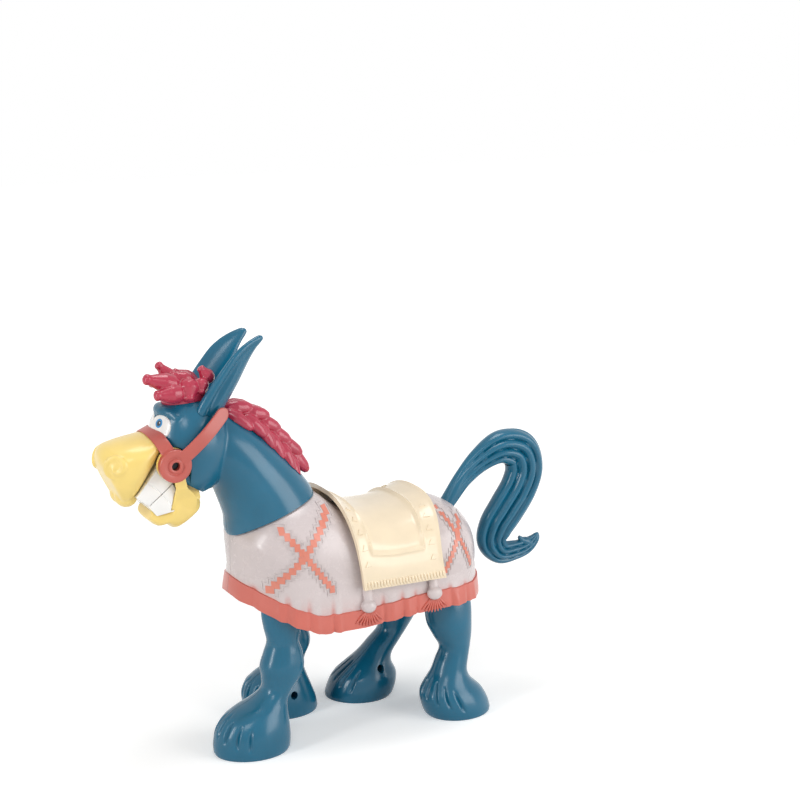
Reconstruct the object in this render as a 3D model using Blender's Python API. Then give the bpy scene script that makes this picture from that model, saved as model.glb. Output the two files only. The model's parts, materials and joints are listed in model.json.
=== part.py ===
"""Battery-operated toy donkey that walks, nods, chews and turns its tail.

The toy faces -X, its left side is -Y and +Z is up. Sizes are in millimetres and MM turns them to metres.
The origin lies on the floor below the middle of the toy.
"""

import math

import bmesh
import bpy
from mathutils import Matrix, Vector

MM = 0.001

# Clearances shared by every fit
FIT_GAP = 0.3
RUN_GAP = 0.6
PIN_GAP = 0.35
WELD_DISTANCE = 0.001
SHARP_ANGLE = 40.0
POLE_TILT = 84.0
TINY = 0.001

# Blanket body: a barrel shoulder round the neck pivot, a hollow back and a round rump
NECK_PIVOT_X = -30.0
NECK_PIVOT_Z = 106.0
SHOULDER_RADIUS = 44.0
WITHERS_ANGLE = 66.0
BACK_DIP_X = 8.0
BACK_DIP_Z = 126.0
RUMP_CORE_X = 58.0
RUMP_CORE_Z = 95.0
RUMP_TOP_Z = 134.5
RUMP_DEPTH = 34.0
CHEST_DEPTH = 38.0
BODY_HALF_WIDTH = 41.0
BODY_WALL = 2.0
BODY_POWER = 2.6
CHEST_POWER = 1.8
CHEST_BLEND_ANGLE = 115.0
RUMP_POWER = 2.3
RUMP_PLAN_POWER = 2.0
HEM_FRONT_Z = 95.0
HEM_SIDE_Z = 72.0
HEM_REAR_Z = 76.0
HEM_REAR_X = 45.0
HEM_RISE_X = -25.0
HEM_RISE_LENGTH = 49.0
HEM_RISE_POWER = 1.25
HEM_FLARE_SIDE = 3.0
HEM_FLARE_END = 1.5
ARC_STEPS = 7
RIDGE_STEPS = 5
RUMP_STEPS = 6
SIDE_STEPS = 6
SKIRT_ROWS = 2
BARREL_STEPS = 12
BARREL_TILT = 86.0
BACK_SEARCH_STEPS = 30

# Neck and head halves
NECK_RINGS = (
    ((-19.0, 137.5), (-58.0, 121.0), 26.0),
    ((-15.5, 148.5), (-68.8, 127.0), 27.0),
    ((-23.0, 161.0), (-70.5, 138.3), 25.5),
    ((-36.0, 175.5), (-74.5, 150.0), 23.5),
    ((-50.0, 189.0), (-79.0, 160.0), 21.5),
    ((-64.0, 200.0), (-88.0, 168.0), 18.0),
    ((-76.0, 205.0), (-94.0, 180.0), 12.0),
)
NECK_FOOT = ((-17.0, 118.0), (-46.0, 106.0), 22.0)
HEAD_CENTRE_X = -92.5
HEAD_CENTRE_Z = 186.0
HEAD_HALF_LENGTH = 24.5
HEAD_HALF_WIDTH = 23.5
HEAD_HALF_HEIGHT = 31.5
HEAD_RINGS = 9
HEAD_SIDES = 18
HEAD_WALL = 2.0
MOUTH_LINE_REAR = (-88.0, 154.0)
MOUTH_LINE_FRONT = (-110.0, 172.0)
MOUTH_LINE_RUN = 6.0
CHEEK_RELIEF_TURN = 7.5
CHEEK_RELIEF_Y = 12.0
TANG_ANGLE = 113.0
TANG_HALF_WIDTH = 5.5
TANG_HALF_DEPTH = 6.0
TANG_REACH = 57.0
TANG_BEAM_HALF_WIDTH = 20.5
TANG_HUB_RADIUS = 8.0
TANG_SLOT_SWING = 19.0
TANG_SLOT_LEAD = 1.6
NOD_LEVER_HALF_DEPTH = 3.0

# Jaw, muzzle and teeth
JAW_PIVOT_X = -109.4
JAW_PIVOT_Z = 180.0
JAW_HUB_RADIUS = 9.6
JAW_HUB_INNER_Y = 18.0
JAW_HUB_OUTER_Y = 20.6
JAW_PIN_RADIUS = 1.5
JAW_ARM_HALF_DEPTH = 3.4
JAW_SEAT_DEPTH = 0.4
JAW_SWEEP = 16.0
JAW_SCREW_REACH = 4.5
JAW_SCREW_HEAD = 1.4
THROAT_FRONT_X = -104.0
THROAT_REAR_X = -81.5
THROAT_TOP_Z = 166.0
# Levels of a jaw arm: drop below the pivot, shift behind it, inner and outer y
JAW_ARM_LEVELS = (
    (0.0, 2.0, 18.0, 20.6),
    (13.0, 5.0, 17.8, 20.4),
    (22.0, 7.5, 13.0, 16.5),
    (30.0, 6.5, 9.0, 12.5),
)
JAW_RINGS = (
    ((-90.0, 154.8), (-89.0, 151.0), 7.0),
    ((-93.5, 157.2), (-92.0, 147.0), 12.5),
    ((-99.0, 161.2), (-99.5, 141.5), 15.5),
    ((-104.5, 164.6), (-106.0, 139.0), 16.6),
    ((-107.5, 153.0), (-111.5, 142.4), 16.4),
    ((-113.5, 151.5), (-117.0, 142.0), 15.2),
    ((-119.5, 152.0), (-121.5, 146.0), 11.5),
)
JAW_POWER = 3.4
JAW_WEB = (
    (-104.5, 167.4),
    (-98.0, 162.1),
    (-92.5, 157.6),
    (-91.5, 152.5),
    (-98.0, 148.0),
    (-102.8, 153.5),
    (-104.8, 160.0),
)
JAW_WEB_INNER_Y = 15.4
JAW_WEB_OUTER_Y = 16.8
MUZZLE_RINGS = (
    ((-110.0, 196.5), (-106.0, 186.0), 17.5),
    ((-119.5, 195.4), (-113.0, 183.5), 19.0),
    ((-129.0, 194.0), (-117.5, 177.0), 20.5),
    ((-138.0, 192.4), (-122.5, 168.5), 20.5),
    ((-145.0, 190.0), (-128.0, 159.5), 18.5),
    ((-147.8, 182.5), (-133.5, 155.4), 14.5),
    ((-143.4, 172.0), (-136.0, 156.5), 10.0),
    ((-140.6, 167.0), (-138.2, 160.5), 5.5),
)
MUZZLE_POWER = 2.5
LIP_CENTRE = (-132.8, 4.0, 160.8)
LIP_RADII = (6.6, 7.6, 6.6)
MUZZLE_SEAT = 1.0
TEETH_HALF_WIDTH = 16.0
BITE_REAR = (-108.0, 167.5)
BITE_FRONT = (-123.0, 155.5)
BITE_GAP = 0.4
UPPER_TEETH_BACK = (-110.0, 184.0)
UPPER_TEETH_LIP = (-131.0, 162.0)
LOWER_TEETH_LIP = (-118.5, 149.5)
LOWER_TEETH_BACK = (-104.0, 152.0)

# Bridle
BRIDLE_DISC_RADIUS = 9.6
BRIDLE_DISC_OUTER_Y = 25.0
BRIDLE_HOLE_RADIUS = 2.5
STRAP_WIDTH = 7.8
STRAP_THICKNESS = 1.8
NOSEBAND_TOP = (-115.8, 195.0)
NOSEBAND_RISE = 0.9
CHEEK_STRAP_TOP = (-76.5, 209.0)
CHEEK_STRAP_TOP_Y = 19.5
STRAP_STEPS = 8
NOSEBAND_POWER = 4.0
NOSEBAND_LEAN = 0.2
CHEEK_BULGE = 1.6
CHEEK_STEPS = 5
CHEEK_ROOM = 4.0

# Eyes, ears and hair
EYE_X = -110.5
EYE_Y = 7.0
EYE_Z = 200.5
EYE_RADII = (5.2, 6.0, 8.0)
EYE_RINGS = 7
# Ear stations: centre line in the side view, half width and half depth
EAR_LINE = (
    ((-86.5, 203.0), 9.2, 5.0),
    ((-78.8, 217.5), 9.0, 4.4),
    ((-73.4, 226.3), 8.8, 3.8),
    ((-68.8, 233.6), 8.2, 3.2),
    ((-64.0, 239.4), 6.8, 2.7),
    ((-58.6, 243.8), 4.6, 2.2),
    ((-52.4, 247.2), 2.6, 1.6),
    ((-50.4, 248.2), 1.2, 0.9),
)
EAR_ROOT_Y = 13.5
EAR_TIP_Y = 12.5
EAR_TURN = 0.45
FORELOCK_ROOT = (-94.0, 0.0, 214.5)
FORELOCK_CORE_RADII = (14.5, 12.5, 12.0)
TUFT_TIP_RADIUS = 2.1
TUFT_SIDES = 6
TUFT_ROOT_SHARE = 0.55
TUFT_SWELL = ((0.25, 0.95), (0.5, 1.0))
TUFT_WAIST = 0.8
TUFT_END_SHARE = 0.4
HAIR_RINGS = 7
# Locks of the forelock: tip, root and radius
FORELOCK_LOCKS = (
    ((-119.9, -4.0, 227.8), (-99.0, -6.0, 221.5), 5.0),
    ((-108.4, 4.0, 233.3), (-97.0, 2.0, 221.0), 4.4),
    ((-115.5, -11.0, 218.6), (-98.0, -9.5, 218.5), 5.4),
    ((-96.6, -13.5, 214.5), (-94.0, -7.0, 225.0), 5.2),
    ((-103.5, -3.0, 228.6), (-90.0, -3.0, 223.5), 4.2),
    ((-100.0, 3.5, 229.0), (-86.0, 3.5, 222.0), 4.4),
    ((-85.4, -6.0, 231.6), (-83.5, -5.5, 216.0), 3.8),
    ((-88.6, -12.8, 217.5), (-86.5, -8.0, 225.0), 4.4),
    ((-112.0, 10.5, 222.0), (-96.0, 8.0, 218.0), 4.8),
    ((-95.0, 13.0, 215.5), (-91.0, 8.0, 223.0), 4.8),
)
# Mane: crest line in the middle plane, and two rows of locks on each side of it
MANE_CREST = (
    (-69.0, 210.5),
    (-56.5, 209.0),
    (-47.0, 202.5),
    (-39.8, 194.8),
    (-32.2, 186.6),
    (-25.0, 177.5),
    (-22.0, 168.0),
)
MANE_LOCKS = 7
MANE_LOCK_RADIUS = 4.4
MANE_CORE_RADIUS = 5.5
# Rows of locks: root y, tip y, root depth below the crest, run along the crest, drop of the tip
MANE_ROWS = ((1.6, 3.4, 4.4, 14.0, 0.0), (4.0, 10.5, 7.0, 12.5, 6.5))
MANE_STEPS = 9
MANE_SIDES = 8
MANE_END_SWELL = 0.5
MANE_SWELL = 0.9
MANE_LIFT = 4.0

# Tail: centre line and in-plane half widths
TAIL_LINE = (
    ((80.3, 129.2), 5.0),
    ((90.5, 141.9), 6.3),
    ((103.0, 152.5), 8.5),
    ((117.8, 159.0), 11.5),
    ((131.0, 155.5), 13.0),
    ((135.5, 143.6), 13.2),
    ((131.8, 131.0), 13.0),
    ((123.0, 118.0), 12.8),
    ((115.0, 107.0), 12.0),
    ((112.5, 97.5), 10.5),
    ((118.5, 89.5), 8.0),
    ((128.5, 87.5), 6.4),
    ((138.0, 91.0), 4.6),
    ((146.9, 98.0), 2.2),
)
TAIL_DEPTH_SHARE = 0.62
TAIL_SIDES = 28
TAIL_STEM_SIDES = 12
TAIL_RIB_COUNT = 4.0
TAIL_RIB_WANDER = 1.6
TAIL_RIB_SWINGS = 3.0
TAIL_RIB_HEIGHT = 0.1
TAIL_RIB_FADE = 0.12
TAIL_FLANGE_RADIUS = 6.3
TAIL_FLANGE_BACK = 6.4
TAIL_FLANGE_THICKNESS = 1.6
TAIL_STUB = 9.0
TAIL_STUB_TAPER = 0.8
TAIL_STEM_SLACK = 0.05
TAIL_STEM_RUN = 0.6

# Legs: stations give height, shift of the centre line, half length and half width
FRONT_HIP_X = -41.0
FRONT_HIP_Z = 96.0
HIND_HIP_X = 66.0
HIND_HIP_Z = 92.0
HIP_INSET = 19.0
HIP_Y = BODY_HALF_WIDTH - HIP_INSET
HOOF_SPREAD = 2.5
HOOF_Y = HIP_Y + HOOF_SPREAD
HIND_HOOF_SPREAD = 4.5
HIND_HOOF_Y = HIP_Y + HIND_HOOF_SPREAD
HIP_PIN_RADIUS = 1.5
HIP_HUB_RADIUS = 9.0
FRONT_STRIDE = 20.5
FRONT_STRIDE_POWER = 0.7
HIND_STRIDE = 22.0
HIND_STRIDE_POWER = 1.4
HIND_HOOF_TURN = 15.0
LEG_SIDES = 12
FRONT_LEG = (
    (101.0, 0.0, 8.0, 7.0),
    (95.0, 0.0, 12.5, 8.2),
    (84.0, 1.6, 13.5, 8.8),
    (74.0, 3.8, 12.0, 9.6),
    (65.0, 5.5, 9.8, 9.5),
    (58.0, 6.8, 11.8, 10.8),
    (50.0, 7.5, 13.6, 12.0),
    (43.0, 8.1, 12.2, 11.0),
    (36.0, 6.1, 9.8, 10.0),
    (30.0, 1.4, 12.2, 11.5),
    (24.0, -4.3, 18.5, 15.0),
    (16.0, -6.3, 22.4, 18.0),
    (7.0, -5.8, 23.8, 19.2),
    (0.0, -5.0, 23.4, 19.0),
)
HIND_LEG = (
    (97.0, 0.0, 8.0, 8.0),
    (91.0, 0.0, 12.5, 9.5),
    (80.0, -0.5, 14.5, 10.0),
    (68.0, -2.0, 15.2, 12.0),
    (58.0, -3.5, 14.5, 12.6),
    (50.0, -3.5, 12.4, 11.2),
    (42.0, -4.0, 9.8, 9.6),
    (34.0, -8.5, 10.6, 10.2),
    (27.0, -12.5, 11.6, 11.4),
    (21.0, -15.0, 15.0, 14.0),
    (14.0, -15.4, 20.5, 18.0),
    (7.0, -15.2, 22.2, 19.4),
    (0.0, -15.2, 22.0, 19.4),
)
FRONT_SCREW_HEIGHT = 15.0
HIND_SCREW_HEIGHT = 19.8
LEG_SCREW_HOLE = 2.5
LEG_SCREW_SHANK = 1.2
LEG_SCREW_LENGTH = 12.0
LEG_SCREW_SEAT = 4.0
LEG_SCREW_RUN = 1.0
FRONT_SCREW_SHIFT = -2.0
HIND_SCREW_SHIFT = -12.7
AXLE_RECESS = 1.0

# Drive: one crank under the back swings all four legs through slotted arms
CRANK_X = 11.0
CRANK_Z = 113.5
CRANK_THROW = 5.0
CRANK_DISC_RADIUS = 8.5
CRANK_DISC_INSET = 4.0
CRANK_DISC_INNER_Y = HIP_Y - CRANK_DISC_INSET
CRANK_DISC_THICKNESS = 2.5
CRANK_PIN_RADIUS = 2.0
AXLE_RADIUS = 1.5
ARM_THICKNESS = 2.2
ARM_HALF_DEPTH = 3.4
ARM_OFFSET = 0.8
ARM_INNER_Y = HIP_Y + ARM_OFFSET
ARM_SLOT_LENGTH = 12.0
ARM_END_WALL = 2.0
GEAR_MODULE = 0.75
WHEEL_TEETH = 24
PINION_TEETH = 8
GEAR_THICKNESS = 3.2
TRAIN_ANGLE = 3.0
TOOTH_RISE = 0.8
TOOTH_DEPTH = 1.2
TOOTH_ROOT_SHARE = 0.27
TOOTH_TIP_SHARE = 0.11
PLATE_LEFT_Y = 0.0
PLATE_RIGHT_Y = 11.0
PLATE_THICKNESS = 1.5
PLATE_MARGIN = 6.0
AXLE_RUN = 1.0
PIN_ROOT = 1.0
CAM_RADIUS = 6.0
CAM_OFFSET = 2.0
CAM_INNER_Y = -4.0
CAM_THICKNESS = 2.8
MOTOR_LENGTH = 25.0
MOTOR_WIDTH = 20.0
MOTOR_HEIGHT = 15.0
MOTOR_SHAFT_RADIUS = 1.0
MOTOR_SHAFT_ROOT = 2.0

# Belly pan with its battery box
PAN_FLOOR_Z = 84.0
PAN_FLOOR = 2.5
PAN_WALL = 2.0
PAN_RIM_Z = 98.0
PAN_KEEL_INSET = 9.0
PAN_KEEL_RISE = 8.0
SPINE_HALF_WIDTH = 11.0
FRONT_WINDOW = (-66.0, -18.0)
HIND_WINDOW = (46.0, 86.0)
CHEEK_INNER_Y = 7.0
CHEEK_OUTER_Y = 9.6
BEARING_MARGIN = 7.0
CELL_LENGTH = 50.5
CELL_RADIUS = 7.2
CELL_Y = 7.7
BOX_MIDDLE_X = 15.0
BOX_WALL = 2.0
BOX_LIFT = 0.1
CELL_NIPPLE_LENGTH = 1.6
CELL_NIPPLE_RADIUS = 2.7
CONTACT_MARGIN = 5.0
CONTACT_THICKNESS = 0.6
DOOR_THICKNESS = 2.0
DOOR_SCREW_RADIUS = 1.4
DOOR_SCREW_HEAD_RADIUS = 2.3
DOOR_SCREW_HEAD = 1.2
DOOR_HOLE_RUN = 1.0
SWITCH_X = 51.5
SWITCH_LENGTH = 12.0
SWITCH_WIDTH = 7.0
SWITCH_HEIGHT = 6.0
KNOB_LENGTH = 4.0
KNOB_WIDTH = 3.0
KNOB_DROP = 2.2
KNOB_TRAVEL = 4.0

# Saddle pad
SADDLE_FRONT_LOW_X = -2.0
SADDLE_REAR_LOW_X = 53.0
SADDLE_FRONT_TOP_X = -8.5
SADDLE_REAR_TOP_X = 56.0
SADDLE_REAR_WAIST = 4.0
SADDLE_STANDOFF = 6.0
SADDLE_HALF_WIDTH = BODY_HALF_WIDTH + SADDLE_STANDOFF
SADDLE_LOW_Z = 96.0
SADDLE_MID_TOP_Z = 136.4
SADDLE_FRONT_TOP_Z = 148.5
SADDLE_REAR_TOP_Z = 141.5
SADDLE_THICKNESS = 2.0
SADDLE_POWER = 2.6
SADDLE_FLARE_POWER = 1.15
SADDLE_LONG_STEPS = 8
SADDLE_PANEL_SINK = 0.5
SADDLE_FRAME_FRONT = 0.17
SADDLE_FRAME_REAR = 0.79
SADDLE_FRAME_ANGLE = 60.0
SADDLE_SIDE_ANGLE = 90.0
SADDLE_RIM = 0.004
SADDLE_RIM_ANGLE = 0.25
SADDLE_BORDER_ROWS = 3
SADDLE_ARCH_STEPS = 16
PEG_RADIUS = 2.2
PEG_LENGTH = 5.5
PEG_XS = (6.0, 36.0)

# Screws that join the body halves, from the far side
BOSS_RADIUS = 4.2
SHELL_SCREW_RADIUS = 1.5
SHELL_SCREW_HEAD_RADIUS = 2.8
SHELL_SCREW_HEAD_Y = 8.0
SHELL_SCREW_LENGTH = 17.0
SHELL_BOSSES = ((-59.0, 113.0), (79.0, 108.0))

ROUND_SIDES = 20
SMALL_SIDES = 12
FAR = 200.0

# Colours, roughness and metallic of the moulded plastics and metal
PAINTS = {
    "teal": ((0.019, 0.156, 0.262), 0.28, 0.0),
    "yellow": ((0.922, 0.738, 0.275), 0.32, 0.0),
    "coral": ((0.738, 0.198, 0.147), 0.35, 0.0),
    "bridle_red": ((0.552, 0.130, 0.107), 0.40, 0.0),
    "mauve": ((0.624, 0.552, 0.552), 0.33, 0.0),
    "cream": ((0.965, 0.831, 0.527), 0.32, 0.0),
    "hair_red": ((0.539, 0.050, 0.091), 0.30, 0.0),
    "white": ((0.87, 0.87, 0.85), 0.25, 0.0),
    "black": ((0.02, 0.02, 0.02), 0.45, 0.0),
    "nylon": ((0.78, 0.76, 0.70), 0.45, 0.0),
    "steel": ((0.60, 0.60, 0.60), 0.30, 1.0),
    "cell_jacket": ((0.08, 0.30, 0.12), 0.35, 0.0),
}


def paint(name):
    found = bpy.data.materials.get(name)
    if found:
        return found
    material = bpy.data.materials.new(name)
    material.use_nodes = True
    shader = material.node_tree.nodes["Principled BSDF"]
    colour, roughness, metallic = PAINTS[name]
    shader.inputs["Base Color"].default_value = (*colour, 1.0)
    shader.inputs["Roughness"].default_value = roughness
    shader.inputs["Metallic"].default_value = metallic
    return material


def solid(points, faces):
    """A helper object from points in millimetres, with its faces turned outwards."""
    mesh = bpy.data.meshes.new("work")
    mesh.from_pydata([Vector(point) * MM for point in points], [], faces)
    work = bmesh.new()
    work.from_mesh(mesh)
    bmesh.ops.remove_doubles(work, verts=work.verts, dist=MM * WELD_DISTANCE)
    bmesh.ops.recalc_face_normals(work, faces=work.faces)
    work.to_mesh(mesh)
    work.free()
    made = bpy.data.objects.new("work", mesh)
    bpy.context.scene.collection.objects.link(made)
    return made


def combine(target, tool, operation):
    """Joins or cuts the target with a tool, which is used up."""
    modifier = target.modifiers.new(operation, "BOOLEAN")
    modifier.operation = operation
    modifier.solver = "EXACT"
    modifier.object = tool
    bpy.context.view_layer.update()
    graph = bpy.context.evaluated_depsgraph_get()
    result = bpy.data.meshes.new_from_object(target.evaluated_get(graph))
    target.modifiers.clear()
    target.data = result
    bpy.data.objects.remove(tool)
    return target


def join(target, *tools):
    for tool in tools:
        combine(target, tool, "UNION")
    return target


def cut(target, *tools):
    for tool in tools:
        combine(target, tool, "DIFFERENCE")
    return target


def finish(name, made, colour, origin=(0.0, 0.0, 0.0)):
    """Names a piece, paints it, shades it smooth and puts its origin where it turns."""
    shift = Vector(origin) * MM
    made.name = name
    made.data.name = name
    made.data.transform(Matrix.Translation(-shift))
    made.location = shift
    made.data.materials.clear()
    made.data.materials.append(paint(colour))
    made.data.shade_smooth()
    made.data.set_sharp_from_angle(angle=math.radians(SHARP_ANGLE))
    return made


def powers(angle, power):
    """The two factors of a superellipse at an angle in its first quarter."""
    return abs(math.cos(angle)) ** (2 / power), abs(math.sin(angle)) ** (2 / power)


def loft(rings):
    """A closed solid through rings of equal count, capped at both ends."""
    count = len(rings[0])
    points = [point for ring in rings for point in ring]
    faces = []
    for row in range(len(rings) - 1):
        for side in range(count):
            after = (side + 1) % count
            faces.append(
                (row * count + side, row * count + after, (row + 1) * count + after, (row + 1) * count + side)
            )
    faces.append(tuple(range(count)))
    faces.append(tuple(range((len(rings) - 1) * count, len(rings) * count)))
    return solid(points, faces)


def span_ring(top, bottom, half_width, sides, grow=0.0, power=2.0):
    """A ring between two points of the middle plane, widened to half_width; a higher power is squarer."""
    top, bottom = Vector(top), Vector(bottom)
    middle = (top + bottom) / 2
    reach = (top - bottom) / 2
    reach *= (reach.length + grow) / reach.length
    ring = []
    for side in range(sides):
        angle = math.tau * side / sides
        up, out = powers(angle, power)
        spot = middle + reach * math.copysign(up, math.cos(angle))
        ring.append((spot.x, (half_width + grow) * math.copysign(out, math.sin(angle)), spot.y))
    return ring


def span_loft(table, sides, grow=0.0, power=2.0):
    return loft([span_ring(top, bottom, width, sides, grow, power) for top, bottom, width in table])


def ellipsoid(centre, radii, rows, sides, grow=0.0):
    """Level rings from pole to pole, with small flat caps."""
    rings = []
    for row in range(rows):
        tilt = math.radians(POLE_TILT) * (2 * row / (rows - 1) - 1)
        rings.append(
            [
                (
                    centre[0] + (radii[0] + grow) * math.cos(tilt) * math.cos(math.tau * side / sides),
                    centre[1] + (radii[1] + grow) * math.cos(tilt) * math.sin(math.tau * side / sides),
                    centre[2] + (radii[2] + grow) * math.sin(tilt),
                )
                for side in range(sides)
            ]
        )
    return loft(rings)


def box(low, high):
    corners = [(x, y, z) for z in (low[2], high[2]) for x, y in
               ((low[0], low[1]), (high[0], low[1]), (high[0], high[1]), (low[0], high[1]))]
    return loft([corners[:4], corners[4:]])


def turned(centre, axis, profile, sides):
    """A solid of revolution: profile lists distance along the axis and radius."""
    axis = Vector(axis).normalized()
    across = axis.orthogonal().normalized()
    beside = axis.cross(across)
    turns = [math.tau * side / sides for side in range(sides)]
    spokes = [across * math.cos(turn) + beside * math.sin(turn) for turn in turns]
    middles = [(Vector(centre) + axis * along, radius) for along, radius in profile]
    return loft([[middle + spoke * radius for spoke in spokes] for middle, radius in middles])


def rod(x, z, radius, y0, y1, sides=SMALL_SIDES):
    """A round bar along Y."""
    return turned((x, 0, z), (0, 1, 0), ((y0, radius), (y1, radius)), sides)


def slab(outline, y0, y1):
    """An outline in the XZ plane, thickened along Y."""
    return loft([[(x, y0, z) for x, z in outline], [(x, y1, z) for x, z in outline]])


def bezier(a, b, c, share):
    return tuple(
        (1 - share) ** 2 * p + 2 * share * (1 - share) * q + share**2 * r for p, q, r in zip(a, b, c)
    )


def polar(x, z, radius, degrees):
    angle = math.radians(degrees)
    return x + radius * math.cos(angle), z + radius * math.sin(angle)


def body_stations(inset):
    """Side-view profile of the body from chest to rump.

    Each station holds a profile point, the core point that it closes to and the squareness of its section.
    """
    pivot = (NECK_PIVOT_X, NECK_PIVOT_Z)
    core_end = (RUMP_CORE_X, RUMP_CORE_Z)
    stations = []
    for step in range(ARC_STEPS + 1):
        degrees = 180 + (WITHERS_ANGLE - 180) * step / ARC_STEPS
        forward = max(-math.cos(math.radians(degrees)), TINY)
        radius = min(SHOULDER_RADIUS, CHEST_DEPTH / forward) - inset
        share = max(0.0, (degrees - CHEST_BLEND_ANGLE) / (180 - CHEST_BLEND_ANGLE))
        power = BODY_POWER + (CHEST_POWER - BODY_POWER) * share
        stations.append((polar(*pivot, radius, degrees), pivot, power))
    start = polar(*pivot, SHOULDER_RADIUS, WITHERS_ANGLE)
    for step in range(1, RIDGE_STEPS + 1):
        share = step / RIDGE_STEPS
        x, z = bezier(start, (BACK_DIP_X, BACK_DIP_Z), (RUMP_CORE_X, RUMP_TOP_Z), share)
        core = tuple(a + (b - a) * share for a, b in zip(pivot, core_end))
        stations.append(((x, z - inset), core, BODY_POWER))
    for step in range(1, RUMP_STEPS + 1):
        up, out = powers(math.pi / 2 * step / RUMP_STEPS, RUMP_POWER)
        x = RUMP_CORE_X + (RUMP_DEPTH - inset) * out
        z = RUMP_CORE_Z + (RUMP_TOP_Z - RUMP_CORE_Z - inset) * up
        power = BODY_POWER + (RUMP_PLAN_POWER - BODY_POWER) * step / RUMP_STEPS
        stations.append(((x, z), core_end, power))
    return stations


def hem_height(x):
    front = max(0.0, (HEM_RISE_X - x) / HEM_RISE_LENGTH) ** HEM_RISE_POWER
    rear = min(1.0, max(0.0, x / HEM_REAR_X))
    return HEM_SIDE_Z + (HEM_FRONT_Z - HEM_SIDE_Z) * front + (HEM_REAR_Z - HEM_SIDE_Z) * rear


def body_sheet(side, inset):
    """Points and faces of one half of the body's skin; side is -1 for the left half."""
    stations = body_stations(inset)
    last = len(stations) - 1
    points, index, faces = [], {}, []

    def add(key, point):
        if key not in index:
            index[key] = len(points)
            points.append((point[0], side * max(point[1], FIT_GAP / 2), point[2]))
        return index[key]

    def upper_key(station, step):
        if step == SIDE_STEPS and station <= ARC_STEPS:
            return "front pole"
        if step == SIDE_STEPS and station >= ARC_STEPS + RIDGE_STEPS:
            return "rear pole"
        return station, step

    for station, (outer, core, power) in enumerate(stations):
        for step in range(SIDE_STEPS + 1):
            inward, out = powers(math.pi / 2 * step / SIDE_STEPS, power)
            x = core[0] + (outer[0] - core[0]) * inward
            z = core[1] + (outer[1] - core[1]) * inward
            add(upper_key(station, step), (x, (BODY_HALF_WIDTH - inset) * out, z))
    for station in range(last):
        for step in range(SIDE_STEPS):
            keys = ((station, step), (station + 1, step), (station + 1, step + 1), (station, step + 1))
            corners = list(dict.fromkeys(index[upper_key(*key)] for key in keys))
            if len(corners) > 2:
                faces.append(tuple(corners))
    equator = [index[upper_key(0, step)] for step in range(SIDE_STEPS + 1)]
    equator += [index[upper_key(ARC_STEPS + step, SIDE_STEPS)] for step in range(1, RIDGE_STEPS + 1)]
    equator += [index[upper_key(last, step)] for step in reversed(range(SIDE_STEPS))]
    middle_x = (NECK_PIVOT_X - CHEST_DEPTH + RUMP_CORE_X + RUMP_DEPTH) / 2
    half_length = RUMP_CORE_X + RUMP_DEPTH - middle_x
    rows = [equator]
    for row in range(1, SKIRT_ROWS + 1):
        share = row / SKIRT_ROWS
        made = []
        for place, top in enumerate(equator):
            x, y, z = points[top]
            low_x = x + (x - middle_x) / half_length * HEM_FLARE_END * share
            low_y = abs(y) * (1 + HEM_FLARE_SIDE * share / BODY_HALF_WIDTH)
            low_z = z + (hem_height(x) - z) * share
            made.append(add((f"skirt {row}", place), (low_x, low_y, low_z)))
        rows.append(made)
    for above, below in zip(rows, rows[1:]):
        for place in range(len(equator) - 1):
            faces.append((above[place], above[place + 1], below[place + 1], below[place]))
    return points, faces


def walled(outer, inner):
    """A closed wall between two sheets that share their layout."""
    points = outer[0] + inner[0]
    offset = len(outer[0])
    faces = list(outer[1])
    faces += [tuple(offset + corner for corner in reversed(face)) for face in inner[1]]
    uses = {}
    for face in outer[1]:
        for a, b in zip(face, face[1:] + face[:1]):
            uses.setdefault(frozenset((a, b)), []).append((a, b))
    for ends in uses.values():
        if len(ends) == 1:
            a, b = ends[0]
            faces.append((b, a, offset + a, offset + b))
    return solid(points, faces)


def back_height(x):
    """Height of the body's ridge above a place on the back."""
    start = polar(NECK_PIVOT_X, NECK_PIVOT_Z, SHOULDER_RADIUS, WITHERS_ANGLE)
    low, high = 0.0, 1.0
    for _ in range(BACK_SEARCH_STEPS):
        share = (low + high) / 2
        spot = bezier(start, (BACK_DIP_X, BACK_DIP_Z), (RUMP_CORE_X, RUMP_TOP_Z), share)
        if spot[0] < x:
            low = share
        else:
            high = share
    return spot[1]


def tail_axis():
    root, after = Vector(TAIL_LINE[0][0]), Vector(TAIL_LINE[1][0])
    along = (after - root).normalized()
    return (root.x, 0.0, root.y), (along.x, 0.0, along.y)


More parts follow.
